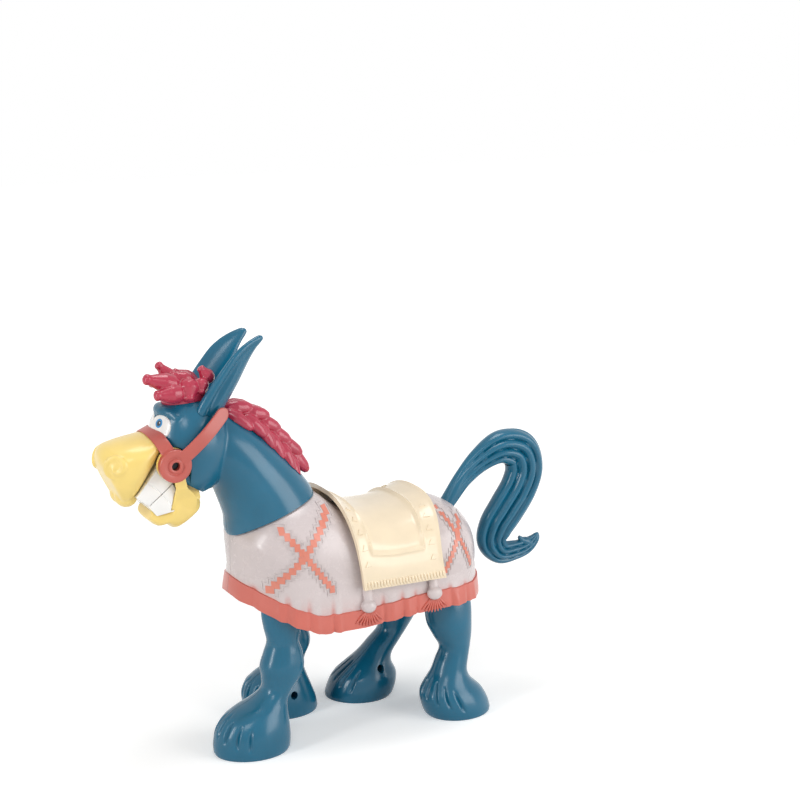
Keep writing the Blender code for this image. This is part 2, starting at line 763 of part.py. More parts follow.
def make_body_shell(side):
    shell = walled(body_sheet(side, 0.0), body_sheet(side, BODY_WALL))
    for x, z in SHELL_BOSSES:
        inside = BODY_HALF_WIDTH - BODY_WALL
        boss = rod(x, z, BOSS_RADIUS, FIT_GAP / 2 * side, inside * side)
        combine(boss, walled_core(side), "INTERSECT")
        join(shell, boss)
    hole = SHELL_SCREW_RADIUS + PIN_GAP
    for x, z in SHELL_BOSSES:
        if side < 0:
            cut(shell, rod(x, z, hole, FIT_GAP, SHELL_SCREW_HEAD_Y - SHELL_SCREW_LENGTH - FIT_GAP))
        else:
            cut(shell, rod(x, z, hole, -FIT_GAP, SHELL_SCREW_HEAD_Y + FIT_GAP))
            head = SHELL_SCREW_HEAD_RADIUS + PIN_GAP
            cut(shell, rod(x, z, head, SHELL_SCREW_HEAD_Y, BODY_HALF_WIDTH + FAR))
    root, along = tail_axis()
    hole = TAIL_LINE[0][1] + PIN_GAP
    cut(shell, turned(root, along, ((-TAIL_STUB, hole), (TAIL_STUB, hole)), ROUND_SIDES))
    for x in PEG_XS:
        hole = PEG_RADIUS + PIN_GAP
        cut(shell, turned((x, 0, 0), (0, 0, 1), ((RUMP_CORE_Z, hole), (FAR, hole)), SMALL_SIDES))
    lead = TANG_SLOT_LEAD * TANG_SLOT_SWING
    slot_rear = polar(NECK_PIVOT_X, NECK_PIVOT_Z, SHOULDER_RADIUS, TANG_ANGLE - TANG_SLOT_SWING)[0]
    slot_front = polar(NECK_PIVOT_X, NECK_PIVOT_Z, SHOULDER_RADIUS, TANG_ANGLE + lead)[0]
    half = TANG_HALF_WIDTH + 2 * RUN_GAP
    cut(shell, box((slot_front, -half, NECK_PIVOT_Z + SHOULDER_RADIUS / 3), (slot_rear, half, FAR)))
    name = "body_shell_left" if side < 0 else "body_shell_right"
    finish(name, shell, "mauve")


def walled_core(side):
    """The space that one half of the body wraps, a little into its wall, to trim the screw bosses."""
    points, faces = body_sheet(side, BODY_WALL / 2)
    used = {}
    for face in faces:
        for a, b in zip(face, face[1:] + face[:1]):
            used.setdefault(frozenset((a, b)), []).append((a, b))
    middle = len(points)
    points.append((RUMP_CORE_X / 2, side * FIT_GAP / 2, HEM_SIDE_Z))
    faces = faces + [(*ends[0][::-1], middle) for ends in used.values() if len(ends) == 1]
    return solid(points, faces)


def make_shell_screws():
    for name, (x, z) in zip(("shell_screw_front", "shell_screw_rear"), SHELL_BOSSES):
        seat = SHELL_SCREW_HEAD_Y + FIT_GAP
        profile = (
            (seat - SHELL_SCREW_LENGTH, SHELL_SCREW_RADIUS),
            (seat, SHELL_SCREW_RADIUS),
            (seat, SHELL_SCREW_HEAD_RADIUS),
            (seat + SHELL_SCREW_RADIUS, SHELL_SCREW_HEAD_RADIUS),
        )
        finish(name, turned((x, 0, z), (0, 1, 0), profile, SMALL_SIDES), "steel")


def shoulder_barrel(grow):
    """The shoulder as a body turned about the neck pivot."""
    profile = []
    for step in range(-BARREL_STEPS, BARREL_STEPS + 1):
        angle = math.radians(BARREL_TILT) * step / BARREL_STEPS
        inward, out = powers(angle, BODY_POWER)
        along = math.copysign(out, step) * (BODY_HALF_WIDTH + grow)
        profile.append((along, SHOULDER_RADIUS * inward + grow))
    return turned((NECK_PIVOT_X, 0, NECK_PIVOT_Z), (0, 1, 0), profile, 2 * ROUND_SIDES)


def head_ball(grow):
    centre = (HEAD_CENTRE_X, 0, HEAD_CENTRE_Z)
    radii = (HEAD_HALF_LENGTH, HEAD_HALF_WIDTH, HEAD_HALF_HEIGHT)
    return ellipsoid(centre, radii, HEAD_RINGS, HEAD_SIDES, grow)


def neck_tube(grow):
    return span_loft(NECK_RINGS, HEAD_SIDES, grow)


def half_space(side, past):
    """Everything on one side of the middle plane, and a little past it."""
    low, high = sorted((-past * side, FAR * side))
    return box((-FAR, low, -FAR), (FAR, high, 2 * FAR))


def mouth_wedge(y0, y1, turn=0.0):
    """The corner below the mouth line that is left open for the jaw, turned about the jaw's pivot."""
    rear, front = Vector(MOUTH_LINE_REAR), Vector(MOUTH_LINE_FRONT)
    along = (rear - front).normalized()
    down = Vector((along.y, -along.x))
    start, end = front - along * FAR, rear + along * MOUTH_LINE_RUN
    pivot = Vector((JAW_PIVOT_X, JAW_PIVOT_Z))
    spin = Matrix.Rotation(math.radians(turn), 2)
    outline = [pivot + spin @ (spot - pivot) for spot in (start, end, end + down * FAR, start + down * FAR)]
    return slab([tuple(spot) for spot in outline], min(y0, y1), max(y0, y1))


def jaw_seat(side):
    """The flat recess in the cheek where the jaw's hub and arm swing."""
    inner = (JAW_HUB_INNER_Y - JAW_SEAT_DEPTH) * side
    reach = JAW_HUB_RADIUS + RUN_GAP
    seat = rod(JAW_PIVOT_X, JAW_PIVOT_Z, reach, inner, FAR * side, ROUND_SIDES)
    low = JAW_PIVOT_Z - HEAD_HALF_HEIGHT
    rear = JAW_PIVOT_X + JAW_ARM_HALF_DEPTH + math.sin(math.radians(JAW_SWEEP)) * HEAD_HALF_HEIGHT
    sweep = slab(
        [(JAW_PIVOT_X - reach, JAW_PIVOT_Z), (JAW_PIVOT_X + reach, JAW_PIVOT_Z), (rear, low), (-FAR, low)],
        min(inner, FAR * side),
        max(inner, FAR * side),
    )
    return seat, sweep


def head_hollow():
    """The room inside the neck and head, run on below the neck so that its foot is open."""
    hollow = join(span_loft(NECK_RINGS, HEAD_SIDES, -HEAD_WALL), head_ball(-HEAD_WALL))
    foot = (NECK_FOOT,) + NECK_RINGS[:2]
    return join(hollow, span_loft(foot, HEAD_SIDES, -HEAD_WALL))


def make_head_shell(side):
    skin = cut(join(neck_tube(0.0), head_ball(0.0)), half_space(-side, FIT_GAP / 2))
    relief = mouth_wedge(CHEEK_RELIEF_Y * side, FAR * side, CHEEK_RELIEF_TURN)
    cut(skin, head_hollow(), shoulder_barrel(RUN_GAP + FIT_GAP))
    cut(skin, mouth_wedge(-FAR, FAR), relief, *jaw_seat(side))
    cut(skin, rod(JAW_PIVOT_X, JAW_PIVOT_Z, JAW_PIN_RADIUS + PIN_GAP, 0, FAR * side))
    throat = box((THROAT_FRONT_X, -CHEEK_RELIEF_Y, 0), (THROAT_REAR_X, CHEEK_RELIEF_Y, THROAT_TOP_Z))
    cut(skin, throat, eye_ball(side, FIT_GAP))
    finish("head_shell_left" if side < 0 else "head_shell_right", skin, "teal", neck_origin())


def neck_origin():
    return NECK_PIVOT_X, 0.0, NECK_PIVOT_Z


def make_neck_tang():
    along = Vector(polar(0, 0, 1, TANG_ANGLE))
    across = Vector((-along.y, along.x)) * TANG_HALF_DEPTH
    pivot = Vector((NECK_PIVOT_X, NECK_PIVOT_Z))
    end = pivot + along * TANG_REACH
    outline = (pivot - across, pivot + across, end + across, end - across)
    bar = slab([tuple(spot) for spot in outline], -TANG_HALF_WIDTH, TANG_HALF_WIDTH)
    foot = end - along * TANG_HALF_DEPTH
    outline = (foot - across / 2, foot + across / 2, end + across / 2 - along, end - across / 2 - along)
    beam = slab([tuple(spot) for spot in outline], -TANG_BEAM_HALF_WIDTH, TANG_BEAM_HALF_WIDTH)
    hub_half = TANG_HALF_WIDTH - RUN_GAP / 2
    hub = rod(*pivot, TANG_HUB_RADIUS, -hub_half, hub_half, ROUND_SIDES)
    lever_end = CRANK_X - CAM_RADIUS - CAM_OFFSET - RUN_GAP
    lever = slab(
        [
            (NECK_PIVOT_X, NECK_PIVOT_Z - NOD_LEVER_HALF_DEPTH),
            (lever_end, CRANK_Z - 2 * NOD_LEVER_HALF_DEPTH),
            (lever_end, CRANK_Z),
            (NECK_PIVOT_X, NECK_PIVOT_Z + NOD_LEVER_HALF_DEPTH),
        ],
        CAM_INNER_Y,
        CAM_INNER_Y + CAM_THICKNESS,
    )
    tang = join(bar, beam, hub, lever)
    cut(tang, rod(*pivot, AXLE_RADIUS + PIN_GAP, -FAR, FAR))
    finish("neck_tang", tang, "nylon", neck_origin())


def lip_lobe(side, grow=0.0):
    """One half of the upper lip that hangs below the muzzle."""
    centre = (LIP_CENTRE[0], LIP_CENTRE[1] * side, LIP_CENTRE[2])
    return ellipsoid(centre, LIP_RADII, EYE_RINGS, SMALL_SIDES, grow)


def snout(grow=0.0):
    return span_loft(MUZZLE_RINGS, HEAD_SIDES, grow, MUZZLE_POWER)


def make_muzzle():
    muzzle = join(snout(), lip_lobe(-1), lip_lobe(1))
    cut(muzzle, head_ball(FIT_GAP))
    for side in (-1, 1):
        cut(muzzle, eye_ball(side, FIT_GAP))
        seat = (JAW_HUB_INNER_Y - MUZZLE_SEAT) * side
        cut(muzzle, rod(JAW_PIVOT_X, JAW_PIVOT_Z, JAW_HUB_RADIUS + RUN_GAP, seat, FAR * side))
    finish("muzzle", muzzle, "yellow", neck_origin())


def make_upper_teeth():
    bite = (Vector(BITE_FRONT) - Vector(BITE_REAR)).normalized()
    lift = Vector((-bite.y, bite.x)) * -BITE_GAP
    rear, front = tuple(Vector(BITE_REAR) + lift), tuple(Vector(BITE_FRONT) + lift)
    outline = [rear, front, UPPER_TEETH_LIP, UPPER_TEETH_BACK]
    teeth = slab(outline, -TEETH_HALF_WIDTH, TEETH_HALF_WIDTH)
    cut(teeth, snout(FIT_GAP), head_ball(FIT_GAP), lip_lobe(-1, FIT_GAP), lip_lobe(1, FIT_GAP))
    cut(teeth, rod(JAW_PIVOT_X, JAW_PIVOT_Z, JAW_PIN_RADIUS + PIN_GAP, -FAR, FAR))
    finish("upper_teeth", teeth, "white", neck_origin())


def make_lower_teeth():
    outline = [BITE_REAR, BITE_FRONT, LOWER_TEETH_LIP, LOWER_TEETH_BACK]
    teeth = slab(outline, -TEETH_HALF_WIDTH, TEETH_HALF_WIDTH)
    cut(teeth, chin(FIT_GAP), chin(FIT_GAP, FIT_GAP), chin(0.0, FIT_GAP))
    for side in (-1, 1):
        cut(teeth, jaw_arm(side, FIT_GAP))
    finish("lower_teeth", teeth, "white", jaw_origin())


def jaw_origin():
    return JAW_PIVOT_X, 0.0, JAW_PIVOT_Z


def jaw_arm(side, grow=0.0):
    """The arm from the hub down into the jaw."""
    half = JAW_ARM_HALF_DEPTH + grow
    rings = []
    for drop, shift, inner, outer in JAW_ARM_LEVELS:
        x, z = JAW_PIVOT_X + shift, JAW_PIVOT_Z - drop
        low, high = (inner - grow) * side, (outer + grow) * side
        rings.append([(x - half, low, z), (x + half, low, z), (x + half, high, z), (x - half, high, z)])
    return loft(rings)


def chin(grow=0.0, ahead=0.0):
    """The jaw without its arms, moved forwards to cut a gap in what stands before it."""
    rings = [
        ((top[0] - ahead, top[1]), (bottom[0] - ahead, bottom[1]), width) for top, bottom, width in JAW_RINGS
    ]
    return span_loft(rings, HEAD_SIDES, grow, JAW_POWER)


def make_lower_jaw():
    jaw = chin()
    for side in (-1, 1):
        near, far = JAW_HUB_INNER_Y * side, JAW_HUB_OUTER_Y * side
        hub = rod(JAW_PIVOT_X, JAW_PIVOT_Z, JAW_HUB_RADIUS, near, far, ROUND_SIDES)
        join(jaw, join(hub, jaw_arm(side)))
        join(jaw, slab(JAW_WEB, *sorted((JAW_WEB_INNER_Y * side, JAW_WEB_OUTER_Y * side))))
        cut(jaw, rod(JAW_PIVOT_X, JAW_PIVOT_Z, JAW_PIN_RADIUS + PIN_GAP, 0, FAR * side))
    finish("lower_jaw", jaw, "yellow", jaw_origin())


def make_jaw_screws():
    for side, name in ((-1, "jaw_screw_left"), (1, "jaw_screw_right")):
        head = JAW_HUB_OUTER_Y + FIT_GAP
        profile = (
            (JAW_HUB_INNER_Y - JAW_SCREW_REACH, JAW_PIN_RADIUS),
            (head, JAW_PIN_RADIUS),
            (head, BRIDLE_HOLE_RADIUS - PIN_GAP),
            (head + JAW_SCREW_HEAD, BRIDLE_HOLE_RADIUS - PIN_GAP),
        )
        screw = turned((JAW_PIVOT_X, 0, JAW_PIVOT_Z), (0, side, 0), profile, SMALL_SIDES)
        finish(name, screw, "steel", neck_origin())


def strap(path, normals, width_ways):
    """A flat band along a path: a point, an outward normal and a width direction at each step."""
    rings = []
    for spot, out, wide in zip(path, normals, width_ways):
        half = wide.normalized() * STRAP_WIDTH / 2
        thick = out.normalized() * STRAP_THICKNESS
        rings.append([spot - half, spot + half, spot + half + thick, spot - half + thick])
    return loft(rings)


def make_bridle():
    pivot = Vector((JAW_PIVOT_X, JAW_PIVOT_Z))
    top = Vector(NOSEBAND_TOP)
    rise = top - pivot
    wide = Vector((rise.y, 0, -rise.x)).normalized()
    inner_y = JAW_HUB_OUTER_Y + FIT_GAP
    path, normals = [], []
    for step in range(STRAP_STEPS + 1):
        angle = math.pi * (step / STRAP_STEPS - 0.5)
        inward, out = powers(angle, NOSEBAND_POWER)
        y = math.copysign(out, angle) * (inner_y + NOSEBAND_RISE)
        spot = pivot + rise * inward
        lift = Vector((rise.x, 0, rise.y)).normalized() * NOSEBAND_RISE
        path.append(Vector((spot.x, y, spot.y)) + lift)
        lean = y * inward**NOSEBAND_LEAN + math.copysign(TINY, y)
        normals.append(Vector((rise.x * inward, lean, rise.y * inward)))
    band = strap(path, normals, [wide] * len(path))
    for side in (-1, 1):
        disc = rod(*pivot, BRIDLE_DISC_RADIUS, inner_y * side, BRIDLE_DISC_OUTER_Y * side, ROUND_SIDES)
        strap_end = Vector((CHEEK_STRAP_TOP[0], CHEEK_STRAP_TOP_Y * side, CHEEK_STRAP_TOP[1]))
        start = Vector((pivot.x, (inner_y + NOSEBAND_RISE) * side, pivot.y))
        bulge = Vector((0, (HEAD_HALF_WIDTH + CHEEK_BULGE - inner_y) * side, 0))
        way = strap_end - start
        sideways = Vector((-way.z, 0, way.x))
        shares = [step / CHEEK_STEPS for step in range(CHEEK_STEPS + 1)]
        line = [start.lerp(strap_end, share) + bulge * math.sin(math.pi * share) for share in shares]
        cheek = strap(line, [Vector((0, side, 0))] * len(line), [sideways] * len(line))
        join(band, disc, cheek)
        cut(band, rod(*pivot, BRIDLE_HOLE_RADIUS, 0, FAR * side))
        cut(band, eye_ball(side, FIT_GAP))
    cut(band, head_ball(FIT_GAP), neck_tube(FIT_GAP), snout(FIT_GAP))
    finish("bridle", band, "bridle_red", neck_origin())


def eye_ball(side, grow=0.0):
    return ellipsoid((EYE_X, EYE_Y * side, EYE_Z), EYE_RADII, EYE_RINGS, SMALL_SIDES, grow)


def make_eyes():
    for side, name in ((-1, "eye_left"), (1, "eye_right")):
        eye = eye_ball(side)
        finish(name, eye, "white", neck_origin())


def ear_leaf(side, grow=0.0):
    """The leaf of one ear, turned a little so that its hollow faces forwards and out."""
    last = len(EAR_LINE) - 1
    base, tip = Vector(EAR_LINE[0][0]), Vector(EAR_LINE[last][0])
    along = Vector((tip.x - base.x, (EAR_TIP_Y - EAR_ROOT_Y) * side, tip.y - base.y)).normalized()
    wide = Vector((along.z, -EAR_TURN * side, -along.x))
    wide = (wide - along * wide.dot(along)).normalized()
    thick = along.cross(wide)
    rings = []
    for step, ((x, z), half, depth) in enumerate(EAR_LINE):
        centre = Vector((x, (EAR_ROOT_Y + (EAR_TIP_Y - EAR_ROOT_Y) * step / last) * side, z))
        ring = []
        for part in range(SMALL_SIDES):
            turn = math.tau * part / SMALL_SIDES
            across = wide * (half + grow) * math.cos(turn)
            ring.append(centre + across + thick * (depth + grow) * math.sin(turn))
        rings.append(ring)
    return loft(rings)


def make_ears():
    for side, name in ((-1, "ear_left"), (1, "ear_right")):
        ear = cut(ear_leaf(side), head_ball(FIT_GAP), neck_tube(FIT_GAP), bridle_keep_out(side))
        finish(name, ear, "teal", neck_origin())


def bridle_keep_out(side):
    """The room that the top of a cheek strap needs beside the ear."""
    x, z = CHEEK_STRAP_TOP
    y = CHEEK_STRAP_TOP_Y * side
    reach = STRAP_WIDTH / 2 + FIT_GAP
    return box(
        (x - 2 * reach, min(y - side, y + CHEEK_ROOM * side), z - 3 * reach),
        (x + 2 * reach, max(y - side, y + CHEEK_ROOM * side), z + reach),
    )


def lock(root, tip, radius, tip_radius, sides=TUFT_SIDES):
    """A plump tuft of hair that thins to a round tip."""
    root, tip = Vector(root), Vector(tip)
    along = (tip - root).normalized()
    length = (tip - root).length
    profile = (
        (0.0, radius * TUFT_ROOT_SHARE),
        *((length * along_share, radius * share) for along_share, share in TUFT_SWELL),
        (length * TUFT_WAIST, (radius + tip_radius) / 2),
        (length - tip_radius, tip_radius),
        (length, tip_radius * TUFT_END_SHARE),
    )
    return turned(root, along, profile, sides)


def make_forelock():
    hair = ellipsoid(FORELOCK_ROOT, FORELOCK_CORE_RADII, HAIR_RINGS, SMALL_SIDES)
    for tip, root, radius in FORELOCK_LOCKS:
        join(hair, lock(root, tip, radius, TUFT_TIP_RADIUS))
    cut(hair, head_ball(FIT_GAP), neck_tube(FIT_GAP))
    for side in (-1, 1):
        cut(hair, ear_leaf(side, FIT_GAP))
        cut(hair, eye_ball(side, FIT_GAP))
    finish("forelock", hair, "hair_red", neck_origin())


def crest_point(share):
    """A place along the mane's crest line, as x and z, with its direction."""
    spans = len(MANE_CREST) - 1
    span = min(int(share * spans), spans - 1)
    start, end = Vector(MANE_CREST[span]), Vector(MANE_CREST[span + 1])
    return start.lerp(end, share * spans - span), (end - start).normalized()


def make_mane():
    rings = []
    for step in range(MANE_STEPS + 1):
        spot, along = crest_point(step / MANE_STEPS)
        inward = Vector((along.y, -along.x))
        core = spot + inward * MANE_CORE_RADIUS
        swell = MANE_CORE_RADIUS * (MANE_END_SWELL if step in (0, MANE_STEPS) else MANE_SWELL)
        ring = []
        for part in range(MANE_SIDES):
            turn = math.tau * part / MANE_SIDES
            place = core + inward * swell * math.cos(turn)
            ring.append((place.x, swell * math.sin(turn), place.y))
        rings.append(ring)
    hair = loft(rings)
    for number in range(MANE_LOCKS):
        spot, along = crest_point(number / MANE_LOCKS)
        inward = Vector((along.y, -along.x))
        for root_y, tip_y, depth, run, drop in MANE_ROWS:
            root = spot + inward * depth
            tip = root + along * run + inward * drop
            for side in (-1, 1):
                start, end = (root.x, side * root_y, root.y), (tip.x, side * tip_y, tip.y)
                join(hair, lock(start, end, MANE_LOCK_RADIUS, TUFT_TIP_RADIUS))
    cut(hair, neck_tube(FIT_GAP), head_ball(FIT_GAP))
    for side in (-1, 1):
        cut(hair, ear_leaf(side, FIT_GAP))
    cut(hair, box((-FAR, -FAR, 0), (FAR, FAR, NECK_PIVOT_Z + SHOULDER_RADIUS + MANE_LIFT)))
    finish("mane", hair, "hair_red", neck_origin())


def tail_ring(index):
    """One section of the tail: a flat oval with ribs that wander across it along the plume."""
    (x, z), half = TAIL_LINE[index]
    last = len(TAIL_LINE) - 1
    before, after = Vector(TAIL_LINE[max(index - 1, 0)][0]), Vector(TAIL_LINE[min(index + 1, last)][0])
    way = (after - before).normalized()
    across = Vector((-way.y, 0, way.x))
    depth = half * (1.0 if index == 0 else TAIL_DEPTH_SHARE)
    share = index / last
    height = TAIL_RIB_HEIGHT * half * min(1.0, share / TAIL_RIB_FADE, (1 - share) / TAIL_RIB_FADE)
    wander = TAIL_RIB_WANDER * math.sin(TAIL_RIB_SWINGS * share)
    ring = []
    for part in range(TAIL_SIDES):
        turn = math.tau * part / TAIL_SIDES
        rib = height * math.cos(math.pi * (TAIL_RIB_COUNT * math.cos(turn) + wander))
        spot = Vector((x, 0, z)) + across * half * math.cos(turn)
        ring.append(spot + Vector((0, (depth + rib) * math.sin(turn), 0)))
    return ring


def make_tail():
    root, along = tail_axis()
    along = Vector(along)
    tail = loft([tail_ring(index) for index in range(len(TAIL_LINE))])
    stem = TAIL_LINE[0][1]
    inside = TAIL_FLANGE_BACK - TAIL_FLANGE_THICKNESS
    profile = (
        (-TAIL_STUB, stem * TAIL_STUB_TAPER),
        (-TAIL_FLANGE_BACK, stem),
        (-TAIL_FLANGE_BACK, TAIL_FLANGE_RADIUS),
        (-inside, TAIL_FLANGE_RADIUS),
        (-inside, stem - TAIL_STEM_SLACK),
        (stem * TAIL_STEM_RUN, stem - TAIL_STEM_SLACK),
    )
    join(tail, turned(root, along, profile, TAIL_STEM_SIDES))
    finish("tail", tail, "teal", root)


def leg_centre(front, side, z):
    """Where a leg's centre line stands at a height: opposite legs of a pair stride apart."""
    hip_x, hip_z = (FRONT_HIP_X, FRONT_HIP_Z) if front else (HIND_HIP_X, HIND_HIP_Z)
    stride = FRONT_STRIDE * side if front else -HIND_STRIDE * side
    power = FRONT_STRIDE_POWER if front else HIND_STRIDE_POWER
    share = max(0.0, (hip_z - z) / hip_z)
    hoof_y = HOOF_Y if front else HIND_HOOF_Y
    return hip_x + stride * share**power, side * (HIP_Y + (hoof_y - HIP_Y) * share)


def leg_solid(front, side):
    table = FRONT_LEG if front else HIND_LEG
    rings = []
    for z, shift, half_length, half_width in table:
        x, y = leg_centre(front, side, z)
        hip_z = FRONT_HIP_Z if front else HIND_HIP_Z
        share = max(0.0, (hip_z - z) / hip_z)
        turn = 0.0 if front else math.radians(HIND_HOOF_TURN) * max(0.0, share * 2 - 1) * -side
        ring = []
        for part in range(LEG_SIDES):
            angle = math.tau * part / LEG_SIDES
            along, beside = half_length * math.cos(angle), half_width * math.sin(angle)
            ring.append(
                (
                    x + shift + along * math.cos(turn) - beside * math.sin(turn),
                    y + along * math.sin(turn) + beside * math.cos(turn),
                    z,
                )
            )
        rings.append(ring)
    return loft(rings)


def leg_arm(front, side):
    """The slotted arm that the crank pin moves, on the outer half of a leg at the end of its stride."""
    hip = Vector((FRONT_HIP_X, FRONT_HIP_Z) if front else (HIND_HIP_X, HIND_HIP_Z))
    crank = Vector((CRANK_X, CRANK_Z + CRANK_THROW * side))
    along = (crank - hip).normalized()
    across = Vector((-along.y, along.x)) * ARM_HALF_DEPTH
    end = crank + along * (ARM_SLOT_LENGTH / 2 + ARM_END_WALL)
    inner = ARM_INNER_Y if front else ARM_INNER_Y + ARM_THICKNESS + RUN_GAP
    low, high = sorted((inner * side, (inner + ARM_THICKNESS) * side))
    outline = (hip - across, end - across, end + across, hip + across)
    arm = slab([tuple(spot) for spot in outline], low, high)
    half = CRANK_PIN_RADIUS + PIN_GAP
    slot_across = Vector((-along.y, along.x)) * half
    start, stop = crank - along * ARM_SLOT_LENGTH / 2, crank + along * ARM_SLOT_LENGTH / 2
    outline = (start - slot_across, stop - slot_across, stop + slot_across, start + slot_across)
    slot = slab([tuple(spot) for spot in outline], low - FIT_GAP, high + FIT_GAP)
    return cut(arm, slot)


def leg_name(front, side, half):
    return f"{'front' if front else 'hind'}_{'left' if side < 0 else 'right'}_leg_{half}"


def make_leg(front, side):
    hip_x, hip_z = (FRONT_HIP_X, FRONT_HIP_Z) if front else (HIND_HIP_X, HIND_HIP_Z)
    origin = (hip_x, 0.0, hip_z)
    table = FRONT_LEG if front else HIND_LEG
    hub_half = table[1][3]
    near, far = (HIP_Y - hub_half) * side, (HIP_Y + hub_half) * side
    hub = rod(hip_x, hip_z, HIP_HUB_RADIUS, near, far, ROUND_SIDES)
    leg = join(leg_solid(front, side), hub)
    cut(leg, rod(hip_x, hip_z, HIP_PIN_RADIUS + PIN_GAP, 0, FAR * side))
    part_y = HIP_Y
    z = FRONT_SCREW_HEIGHT if front else HIND_SCREW_HEIGHT
    x, _ = leg_centre(front, side, z)
    x += screw_shift(front)
    seat = part_y - LEG_SCREW_SEAT
    near, far = (seat - LEG_SCREW_RUN) * side, (seat + LEG_SCREW_LENGTH) * side
    cut(leg, rod(x, z, LEG_SCREW_SHANK + PIN_GAP, near, far))
    cut(leg, rod(x, z, LEG_SCREW_HOLE, 0, seat * side))
    other = leg.copy()
    other.data = leg.data.copy()
    bpy.context.scene.collection.objects.link(other)
    outer = cut(leg, side_box(-FAR, part_y + FIT_GAP / 2, side))
    inner = cut(other, side_box(part_y - FIT_GAP / 2, FAR, side))
    join(outer, leg_arm(front, side))
    cut(outer, rod(hip_x, hip_z, HIP_PIN_RADIUS + PIN_GAP, 0, FAR * side))
    finish(leg_name(front, side, "outer"), outer, "teal", origin)
    finish(leg_name(front, side, "inner"), inner, "teal", origin)
    head = seat - FIT_GAP
    profile = (
        (head - LEG_SCREW_SHANK, LEG_SCREW_HOLE - PIN_GAP),
        (head, LEG_SCREW_HOLE - PIN_GAP),
        (head, LEG_SCREW_SHANK),
        (seat + LEG_SCREW_LENGTH - FIT_GAP, LEG_SCREW_SHANK),
    )
    screw = turned((x, 0, z), (0, side, 0), profile, SMALL_SIDES)
    finish(leg_name(front, side, "screw"), screw, "steel", origin)


def screw_shift(front):
    """How far behind the hoof's middle the leg screw sits."""
    return FRONT_SCREW_SHIFT if front else HIND_SCREW_SHIFT


def side_box(low, high, side):
    return box((-FAR, min(low * side, high * side), -FAR), (FAR, max(low * side, high * side), FAR))


def plan_outline(inset, z):
    """The body's inner outline seen from above, as a closed ring at one height."""
    half = []
    for step in range(SIDE_STEPS + 1):
        inward, out = powers(math.pi / 2 * step / SIDE_STEPS, CHEST_POWER)
        half.append((NECK_PIVOT_X - (CHEST_DEPTH - inset) * inward, (BODY_HALF_WIDTH - inset) * out))
    for step in reversed(range(SIDE_STEPS + 1)):
        inward, out = powers(math.pi / 2 * step / SIDE_STEPS, RUMP_PLAN_POWER)
        half.append((RUMP_CORE_X + (RUMP_DEPTH - inset) * inward, (BODY_HALF_WIDTH - inset) * out))
    ring = [(x, y, z) for x, y in half]
    ring += [(x, -y, z) for x, y in reversed(half[1:-1])]
    return ring


def battery_box_size():
    """Inner half length, inner half width and ceiling of the battery box."""
    half_length = CELL_LENGTH / 2 + CONTACT_THICKNESS + 3 * FIT_GAP
    half_width = CELL_Y + CELL_RADIUS + FIT_GAP
    ceiling = PAN_FLOOR_Z + DOOR_THICKNESS + FIT_GAP + 2 * CELL_RADIUS + 2 * FIT_GAP
    return half_length, half_width, ceiling


def bearing_cheeks(x0, x1, top):
    """Two upright bearing plates on the spine of the pan."""
    return [
        box((x0, min(CHEEK_INNER_Y * side, CHEEK_OUTER_Y * side), PAN_FLOOR_Z + PAN_FLOOR / 2),
            (x1, max(CHEEK_INNER_Y * side, CHEEK_OUTER_Y * side), top))
        for side in (-1, 1)
    ]


def make_belly_pan():
    inset = BODY_WALL + FIT_GAP
    keel = PAN_FLOOR_Z + PAN_KEEL_RISE
    levels = ((inset + PAN_KEEL_INSET, PAN_FLOOR_Z), (inset, keel), (inset, PAN_RIM_Z))
    pan = loft([plan_outline(*level) for level in levels])
    inner = inset + PAN_WALL
    levels = (
        (inner + PAN_KEEL_INSET, PAN_FLOOR_Z + PAN_FLOOR),
        (inner, keel + PAN_WALL / 2),
        (inner, PAN_RIM_Z + FIT_GAP),
    )
    cut(pan, loft([plan_outline(*level) for level in levels]))
    for window in (FRONT_WINDOW, HIND_WINDOW):
        for side in (-1, 1):
            low, high = sorted((SPINE_HALF_WIDTH * side, FAR * side))
            cut(pan, box((window[0], low, 0), (window[1], high, PAN_RIM_Z + FIT_GAP)))
    half_length, half_width, ceiling = battery_box_size()
    outer_x, outer_y = half_length + BOX_WALL, half_width + BOX_WALL
    low = (BOX_MIDDLE_X - outer_x, -outer_y, PAN_FLOOR_Z + BOX_LIFT)
    high = (BOX_MIDDLE_X + outer_x, outer_y, ceiling + BOX_WALL)
    join(pan, box(low, high))
    front_top = NECK_PIVOT_Z + BEARING_MARGIN
    front = bearing_cheeks(FRONT_HIP_X - BEARING_MARGIN, NECK_PIVOT_X + BEARING_MARGIN, front_top)
    hind_top = HIND_HIP_Z + BEARING_MARGIN
    hind = bearing_cheeks(HIND_HIP_X - BEARING_MARGIN, HIND_HIP_X + BEARING_MARGIN, hind_top)
    join(pan, *front, *hind)
    low = (BOX_MIDDLE_X - half_length, -half_width, 0)
    high = (BOX_MIDDLE_X + half_length, half_width, ceiling)
    cut(pan, box(low, high))
    for x, z, radius in (
        (FRONT_HIP_X, FRONT_HIP_Z, HIP_PIN_RADIUS),
        (HIND_HIP_X, HIND_HIP_Z, HIP_PIN_RADIUS),
        (NECK_PIVOT_X, NECK_PIVOT_Z, AXLE_RADIUS),
    ):
        cut(pan, rod(x, z, radius + FIT_GAP, -FAR, FAR))
    slot = (KNOB_LENGTH + KNOB_TRAVEL) / 2 + RUN_GAP
    half = KNOB_WIDTH / 2 + RUN_GAP
    cut(pan, box((SWITCH_X - slot, -half, 0), (SWITCH_X + slot, half, PAN_RIM_Z)))
    finish("belly_pan", pan, "teal")


